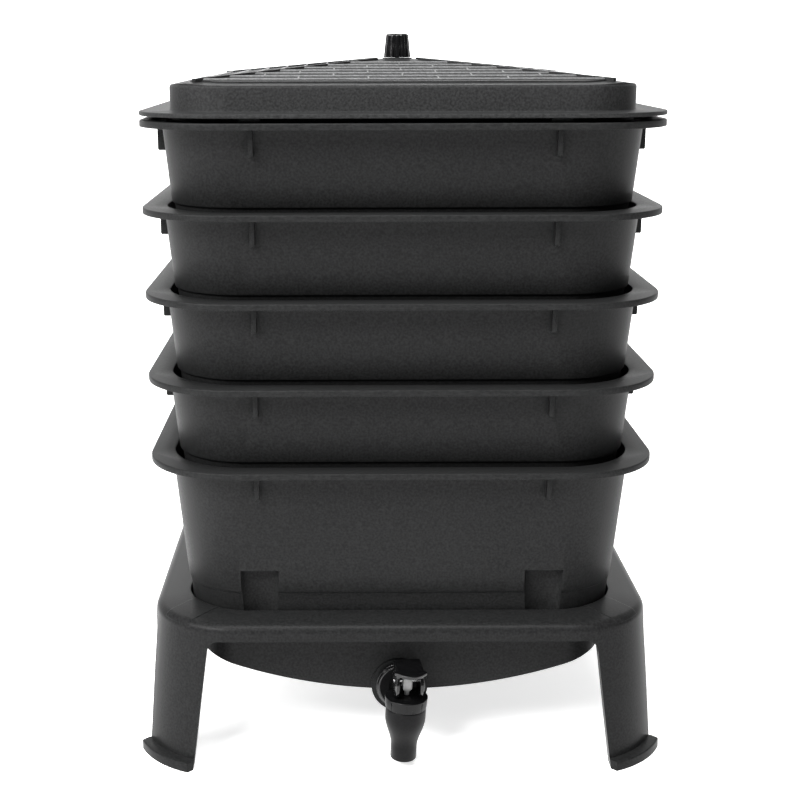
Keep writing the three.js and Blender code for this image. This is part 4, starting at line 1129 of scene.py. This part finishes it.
def cheek(side):
    middle = side * (CHEEK_INNER + CHEEK_THICK / 2)
    lie = offset(middle, -CAM_OFFSET, PIN_AXIS) @ spin(QUARTER, "Y")
    disc = softened(moved(rod(CAM_RADIUS, -CHEEK_THICK / 2, CHEEK_THICK / 2), lie), CHEEK_EDGE)
    top = PADDLE_TOP - PADDLE_THICK / 2
    front = -PADDLE_SHOULDER - CAM_OFFSET
    fall = (PADDLE_REAR - front) * math.tan(PADDLE_SLOPE)
    outline = [(front, top - fall), (PADDLE_REAR, top), (PADDLE_REAR, PIN_AXIS), (front, PIN_AXIS)]
    web = softened(prism(outline, -CHEEK_THICK / 2, CHEEK_THICK / 2), CHEEK_EDGE)
    swing = offset(middle, 0, 0) @ spin(QUARTER, "Z")
    return joined(disc, moved(web, swing))


def tap_lever():
    outline = paddle_outline()
    plate = softened(upright(outline, PADDLE_TOP - PADDLE_THICK, PADDLE_TOP), PADDLE_EDGE, 4)
    lip = upright(outline, PADDLE_TOP - PADDLE_LIP, PADDLE_TOP - PADDLE_THICK / 2)
    low = PADDLE_TOP - 2 * PADDLE_LIP
    behind = upright([(x, y + PADDLE_LIP_DEPTH) for x, y in outline], low, PADDLE_TOP)
    side = PADDLE_FRONT_HALF + OVERRUN
    rear = box((-side, -PADDLE_SHOULDER, low), (side, PADDLE_REAR + OVERRUN, PADDLE_TOP))
    lip = softened(cut(lip, behind, rear), CHEEK_EDGE)
    paddle = joined(plate, moved(lip, offset(0, CLEARANCE, 0)))
    hinge = offset(0, PADDLE_REAR, PADDLE_TOP)
    tip = hinge @ spin(PADDLE_SLOPE, "X") @ hinge.inverted()
    whole = joined(moved(paddle, tip), cheek(-1), cheek(1))
    return in_tap(cut(whole, pin_rod(PIN_HOLE_RADIUS, 2 * CHEEK_INNER)))


def ladder():
    base = BOWL_FLOOR
    top = BOWL_FLOOR + BOWL_FALL / 2 + WALL + LADDER_HEIGHT
    edge = LADDER_EDGE
    crown = rounded_edge(LADDER_TOP_RADIUS - edge, top - edge, edge, QUARTER / 2, QUARTER)
    outer = turned([(0, base), (LADDER_RADIUS, base), *crown, (0, top)])
    inner = turned([
        (0, base - OVERRUN),
        (LADDER_RADIUS - LADDER_WALL, base - OVERRUN),
        (LADDER_TOP_RADIUS - LADDER_WALL, top - LADDER_WALL),
        (0, top - LADDER_WALL),
    ])
    half = LADDER_SLOT_WIDTH / 2
    low = (LADDER_TOP_RADIUS + LADDER_SLOT_WIDTH, -half, base + LADDER_HEIGHT / 2)
    slots = repeated(box(low, (LADDER_RADIUS, half, top - LADDER_SLOT_WIDTH)), LADDER_SLOTS)
    shell = common(cut(outer, inner), cradle(WALL + CLEARANCE))
    return cut(shell, slots)


# Finishes
def feed(tree, socket, value):
    """Links another node's output to a socket, or sets the socket's own value."""
    if isinstance(value, bpy.types.NodeSocket):
        tree.links.new(value, socket)
    else:
        socket.default_value = value


def put(tree, kind, place, *first, **named):
    """A new shader node, with what its first sockets take, and its settings and other sockets by name."""
    made = tree.nodes.new("ShaderNode" + kind)
    made.location = place
    for name, value in named.items():
        if hasattr(made, name):
            setattr(made, name, value)
        else:
            feed(tree, made.inputs[name.replace("_", " ")], value)
    for socket, value in zip(made.inputs, first):
        feed(tree, socket, value)
    return made


def new_group(name, inputs, outputs):
    """A node group whose sockets hold numbers, but for those named Colour, and its inner start's outputs."""
    tree = bpy.data.node_groups.new(name, "ShaderNodeTree")
    for label, side in [(label, "INPUT") for label in inputs] + [(label, "OUTPUT") for label in outputs]:
        kind = "NodeSocketColor" if label == "Colour" else "NodeSocketFloat"
        socket = tree.interface.new_socket(name=label, in_out=side, socket_type=kind)
        if side == "INPUT":
            socket.default_value = inputs[label]
    start = tree.nodes.new("NodeGroupInput")
    start.location = (-900, 0)
    return tree, start.outputs


def give_out(tree, *values):
    """The end of a node group, with what its outputs take."""
    end = tree.nodes.new("NodeGroupOutput")
    end.location = (700, 0)
    for socket, value in zip(end.inputs, values):
        feed(tree, socket, value)


def moulded_grain():
    """Fine stipple and broad flow marks of moulded plastic, as one group."""
    known = bpy.data.node_groups.get("moulded grain")
    if known:
        return known
    inputs = {
        "Colour": (0, 0, 0, 1), "Roughness": 0.5, "Grain": 800,
        "Flow": 9, "Speckle": 0.3, "Sheen Spread": 0.1,
    }
    tree, start = new_group("moulded grain", inputs, ("Colour", "Roughness", "Height"))
    place = put(tree, "TexCoord", (-900, -300)).outputs["Object"]

    def marks(scale, octaves, y):
        noise = put(tree, "TexNoise", (-600, y), place, Scale=start[scale], Detail=octaves, Roughness=0.5)
        level = noise.outputs["Fac"]
        swing = put(tree, "MapRange", (-350, y), level, From_Min=0.3, From_Max=0.7, To_Min=-1, To_Max=1)
        return level, swing.outputs["Result"]

    level, stipple = marks("Grain", 1, -200)
    _, flow = marks("Flow", 2, -450)
    both = put(tree, "Math", (0, -400), flow, 0.12, stipple, operation="MULTIPLY_ADD").outputs[0]
    tint = put(tree, "Math", (150, -250), both, start["Speckle"], 1, operation="MULTIPLY_ADD").outputs[0]
    shade = put(tree, "VectorMath", (350, 100), start["Colour"], operation="SCALE", Scale=tint)
    sheen = both, start["Sheen Spread"], start["Roughness"]
    rough = put(tree, "Math", (350, -150), *sheen, operation="MULTIPLY_ADD")
    give_out(tree, shade.outputs[0], rough.outputs[0], level)
    return tree


def drawn_lines():
    """Fine turning lines round an axis, as one group."""
    known = bpy.data.node_groups.get("drawn lines")
    if known:
        return known
    inputs = {"Roughness": 0.3, "Lines": 4000, "Spread": 0.08}
    tree, start = new_group("drawn lines", inputs, ("Roughness", "Height"))
    place = put(tree, "TexCoord", (-900, -300)).outputs["Object"]
    lines = put(tree, "TexNoise", (-300, -200), place, Scale=start["Lines"], Detail=2).outputs["Fac"]
    centred = put(tree, "Math", (-50, -200), lines, 0.5, operation="SUBTRACT").outputs[0]
    sheen = centred, start["Spread"], start["Roughness"]
    rough = put(tree, "Math", (200, 0), *sheen, operation="MULTIPLY_ADD")
    give_out(tree, rough.outputs[0], lines)
    return tree


def new_material(name):
    material = bpy.data.materials.new(name)
    material.use_nodes = True
    return material, material.node_tree, material.node_tree.nodes["Principled BSDF"].inputs


def plastic(name, colour, roughness, shine, depth, grain=560, speckle=0.3, spread=0.04, softness=None):
    """Moulded plastic: stippled or polished, with edges rounded in the light."""
    known = bpy.data.materials.get(name)
    if known:
        return known
    material, tree, shader = new_material(name)
    texture = put(
        tree, "Group", (-600, 100), node_tree=moulded_grain(), Colour=(*colour, 1),
        Roughness=roughness, Grain=grain, Speckle=speckle, Sheen_Spread=spread
    ).outputs
    edge = put(tree, "Bevel", (-600, -350), samples=4, Radius=softness or detail().edge_softness)
    bump = put(
        tree, "Bump", (-300, -250), Strength=1, Distance=depth,
        Height=texture["Height"], Normal=edge.outputs["Normal"]
    )
    feed(tree, shader["Base Color"], texture["Colour"])
    feed(tree, shader["Roughness"], texture["Roughness"])
    feed(tree, shader["Normal"], bump.outputs["Normal"])
    feed(tree, shader["Specular IOR Level"], shine)
    return material


def metal(name, colour, roughness, lines, depth):
    known = bpy.data.materials.get(name)
    if known:
        return known
    material, tree, shader = new_material(name)
    group = drawn_lines()
    texture = put(tree, "Group", (-600, 0), node_tree=group, Roughness=roughness, Lines=lines).outputs
    bump = put(tree, "Bump", (-300, -250), Strength=1, Distance=depth, Height=texture["Height"])
    feed(tree, shader["Roughness"], texture["Roughness"])
    feed(tree, shader["Normal"], bump.outputs["Normal"])
    feed(tree, shader["Base Color"], (*colour, 1))
    feed(tree, shader["Metallic"], 1)
    return material


def tray_plastic():
    return plastic(
        "charcoal_tray", colours().tray, roughness=0.45, shine=0.06, depth=0.05 * MM, softness=0.8 * MM
    )


def stand_plastic():
    return plastic(
        "charcoal_stand", colours().stand, roughness=0.32, shine=0.05, depth=0.04 * MM, softness=MM
    )


def lid_plastic():
    return plastic(
        "charcoal_lid", colours().lid, roughness=0.45, shine=0.04, depth=0.05 * MM, softness=0.8 * MM
    )


# Lighter plastic for the lid's tile lips and joints: a painted highlight, not wear
def painted_highlight_plastic():
    return plastic(
        "painted_highlight_lid", colours().painted_tile_highlight, roughness=0.38, shine=0.4,
        depth=0.03 * MM, grain=520, spread=0.05
    )


def gloss_plastic():
    return plastic(
        "polished_black", colours().gloss, roughness=0.16, shine=0.4, depth=0.004 * MM,
        grain=260, speckle=0.1, spread=0.03, softness=0.45 * MM
    )


def cap_plastic():
    return plastic(
        "polished_cap", colours().gloss, roughness=0.2, shine=0.18, depth=0.006 * MM,
        grain=260, speckle=0.2, softness=0.45 * MM
    )


def matt_plastic():
    return plastic(
        "matt_black", colours().gloss, roughness=0.55, shine=0.05,
        depth=0.04 * MM, speckle=0.4, spread=0.05
    )


def satin_plastic():
    return plastic(
        "satin_black", colours().satin, roughness=0.34, shine=0.1, depth=0.04 * MM,
        speckle=0.4, spread=0.05, softness=0.4 * MM
    )


def inner_plastic():
    return plastic(
        "plain_inner", colours().tray, roughness=0.55, shine=0.1,
        depth=0.03 * MM, grain=700, speckle=0.12
    )


def stem_plastic():
    return plastic(
        "pale_grey", colours().stem, roughness=0.32, shine=0.5, depth=0.01 * MM,
        grain=500, speckle=0.05, spread=0.03, softness=0.3 * MM
    )


def seal_rubber():
    return plastic(
        "black_rubber", colours().rubber, roughness=0.75, shine=0.3, depth=0.04 * MM,
        grain=1400, speckle=0.2, spread=0.05, softness=0.3 * MM
    )


def steel():
    return metal("bright_steel", colours().steel, roughness=0.26, lines=3000, depth=0.01 * MM)


# Stage
def floor_material():
    material, tree, shader = new_material("paper_sweep")
    cloud = put(tree, "TexNoise", (-600, 0), Scale=3, Detail=2).outputs["Fac"]
    share = put(tree, "MapRange", (-350, 0), cloud, To_Min=0.985, To_Max=1).outputs["Result"]
    tone = put(tree, "VectorMath", (-150, 0), tuple(colours().floor), operation="SCALE", Scale=share)
    feed(tree, shader["Base Color"], tone.outputs[0])
    feed(tree, shader["Roughness"], 0.9)
    feed(tree, shader["Specular IOR Level"], 0.2)
    feed(tree, shader["Emission Color"], (1, 1, 1, 1))
    feed(tree, shader["Emission Strength"], bpy.context.scene.wormery_stage.table_glow)
    return material


def sweep(width):
    """Paper that lies flat under the composter and curves up behind it."""
    bend = arc(SWEEP_START, SWEEP_RADIUS, SWEEP_RADIUS, SWEEP_RADIUS, -QUARTER, 0, SWEEP_STEPS)
    line = [(-width / 2, 0), *bend, (SWEEP_START + SWEEP_RADIUS, SWEEP_TOP)]
    points = [(side * width / 2, y, z) for y, z in line for side in (-1, 1)]
    faces = [(2 * n, 2 * n + 1, 2 * n + 3, 2 * n + 2) for n in range(len(line) - 1)]
    return mesh_piece("floor", points, faces)


def soft_light(name, place, target, size, power):
    lamp = bpy.data.lights.new(name, "AREA")
    lamp.shape = "RECTANGLE"
    lamp.size, lamp.size_y = size
    lamp.energy = power
    light = placed(name, lamp)
    light.location = place
    light.rotation_euler = (Vector(target) - Vector(place)).to_track_quat("-Z", "Y").to_euler()


def photograph_camera():
    lens = bpy.data.cameras.new("photograph_camera")
    lens.lens = CAMERA_LENS
    lens.sensor_width = CAMERA_SENSOR
    lens.shift_x = CAMERA_SHIFT
    lens.clip_end = CAMERA_REACH
    camera = placed("photograph_camera", lens)
    turn = spin(-CAMERA_YAW, "Z") @ spin(QUARTER - CAMERA_PITCH, "X") @ spin(-CAMERA_ROLL, "Z")
    camera.matrix_world = Matrix.Translation(CAMERA_PLACE) @ turn
    bpy.context.scene.camera = camera


class WORMERY_OT_stage(bpy.types.Operator):
    """Make the camera, the pale floor and the soft lights"""
    bl_idname = "wormery.stage"
    bl_label = "Stage"

    def execute(self, context):
        stage = context.scene.wormery_stage
        photograph_camera()
        floor = sweep(stage.floor_size)
        floor.data.materials.append(floor_material())
        floor.data.shade_smooth()
        middle = (0, 0, 0.3)
        soft_light("key_light", (-2.0, -1.0, 1.7), middle, (0.9, 1.4), stage.key_power)
        soft_light("fill_light", (-1.3, -1.8, 2.0), middle, (1.2, 0.9), stage.fill_power)
        soft_light("top_light", (-0.1, -0.8, 2.3), middle, (1.6, 1.0), stage.top_power)
        soft_light("backdrop_light", (0, 1.8, 2.4), (0, 3.3, 0.5), (4.0, 0.5), stage.backdrop_power)
        world = bpy.data.worlds.new("surroundings")
        world.use_nodes = True
        context.scene.world = world
        sky = world.node_tree.nodes["Background"]
        sky.inputs["Color"].default_value = (1, 1, 1, 1)
        sky.inputs["Strength"].default_value = stage.room
        context.scene.view_settings.view_transform = "Standard"
        return {"FINISHED"}


class WORMERY_OT_stand(bpy.types.Operator):
    """Make the stand with its legs, rail and ledge"""
    bl_idname = "wormery.stand"
    bl_label = "Stand"

    def execute(self, context):
        finished(stand(), "moulded_stand", "base", "stand", stand_plastic())
        return {"FINISHED"}


class WORMERY_OT_tank(bpy.types.Operator):
    """Make the collector tank"""
    bl_idname = "wormery.tank"
    bl_label = "Tank"

    def execute(self, context):
        finished(tank(TANK_RIM), "moulded_tank", "base", "tank", tray_plastic())
        return {"FINISHED"}


class WORMERY_OT_trays(bpy.types.Operator):
    """Make the four nesting trays"""
    bl_idname = "wormery.trays"
    bl_label = "Trays"

    def execute(self, context):
        first = tray(TOP_RIM)
        for number in range(1, TRAY_COUNT + 1):
            node = f"tray_{number}"
            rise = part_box(node)[1].z - TOP_RIM
            twin = copy_of(first, offset(0, 0, rise))
            finished(twin, f"moulded_{node}", node, node, tray_plastic())
        drop(first)
        return {"FINISHED"}


class WORMERY_OT_lid(bpy.types.Operator):
    """Make the lid, its knob and their fixing"""
    bl_idname = "wormery.lid"
    bl_label = "Lid"

    def execute(self, context):
        finished(lid(), "tiled_lid", "lid", "lid", lid_plastic())
        # The tiles' lips and joints take the lighter colour of a painted highlight
        edges = joined(lip_beads(), tile_joints())
        finished(edges, "tile_edges", "lid", "lid", painted_highlight_plastic())
        finished(knob(), "fluted_knob", "lid", "lid_knob", gloss_plastic())
        refinished("knob_washer", steel())
        refinished("knob_screw", steel())
        return {"FINISHED"}


class WORMERY_OT_tap(bpy.types.Operator):
    """Make the tap's body, cap, lever and plunger"""
    bl_idname = "wormery.tap"
    bl_label = "Tap"

    def execute(self, context):
        gloss = gloss_plastic()
        satin = satin_plastic()
        finished(tap_body(), "satin_tap_body", "base", "tap_body", satin)
        finished(tap_flange(), "polished_flange", "base", "tap_body", gloss)
        finished(flange_face(), "flange_face", "base", "tap_body", matt_plastic())
        finished(tap_cap(), "slotted_cap", "base", "tap_cap", cap_plastic())
        finished(tap_lever(), "polished_lever", "lever", "tap_lever", gloss)
        finished(tap_stem(), "plunger_stem", "plunger", "tap_stem", stem_plastic())
        for node in ("tap_outer_washer", "tap_inner_washer", "tap_seat"):
            refinished(node, seal_rubber())
        for node in ("tap_lever_pin", "tap_spring"):
            refinished(node, steel())
        refinished("tap_backnut", gloss)
        refinished("tap_strainer", inner_plastic())
        return {"FINISHED"}


class WORMERY_OT_ladder(bpy.types.Operator):
    """Make the ladder dome on the tank's floor"""
    bl_idname = "wormery.ladder"
    bl_label = "Ladder"

    def execute(self, context):
        finished(ladder(), "slotted_ladder", "ladder", "worm_ladder", inner_plastic())
        return {"FINISHED"}


STEPS = (
    WORMERY_OT_stage,
    WORMERY_OT_stand,
    WORMERY_OT_tank,
    WORMERY_OT_trays,
    WORMERY_OT_lid,
    WORMERY_OT_tap,
    WORMERY_OT_ladder,
)


class WORMERY_PT_panel(bpy.types.Panel):
    """The steps that build the composter, and its sizes and colours"""
    bl_idname = "WORMERY_PT_panel"
    bl_label = "Wormery"
    bl_space_type = "VIEW_3D"
    bl_region_type = "UI"
    bl_category = "Wormery"

    def draw(self, context):
        for step in STEPS:
            self.layout.operator(step.bl_idname)
        for group, kind in GROUPS.items():
            column = self.layout.column()
            for name in kind.__annotations__:
                column.prop(getattr(context.scene, group), name)


GROUPS = {
    "wormery_detail": WormeryDetail,
    "wormery_colours": WormeryColours,
    "wormery_stage": WormeryStage,
}
CLASSES = (*GROUPS.values(), *STEPS, WORMERY_PT_panel)


def register():
    for kind in CLASSES:
        bpy.utils.register_class(kind)
    for name, kind in GROUPS.items():
        setattr(bpy.types.Scene, name, PointerProperty(type=kind))


def unregister():
    for name in GROUPS:
        delattr(bpy.types.Scene, name)
    for kind in reversed(CLASSES):
        bpy.utils.unregister_class(kind)


def main():
    register()
    for step in STEPS:
        group, name = step.bl_idname.split(".")
        getattr(getattr(bpy.ops, group), name)()


if __name__ == "__main__":
    main()
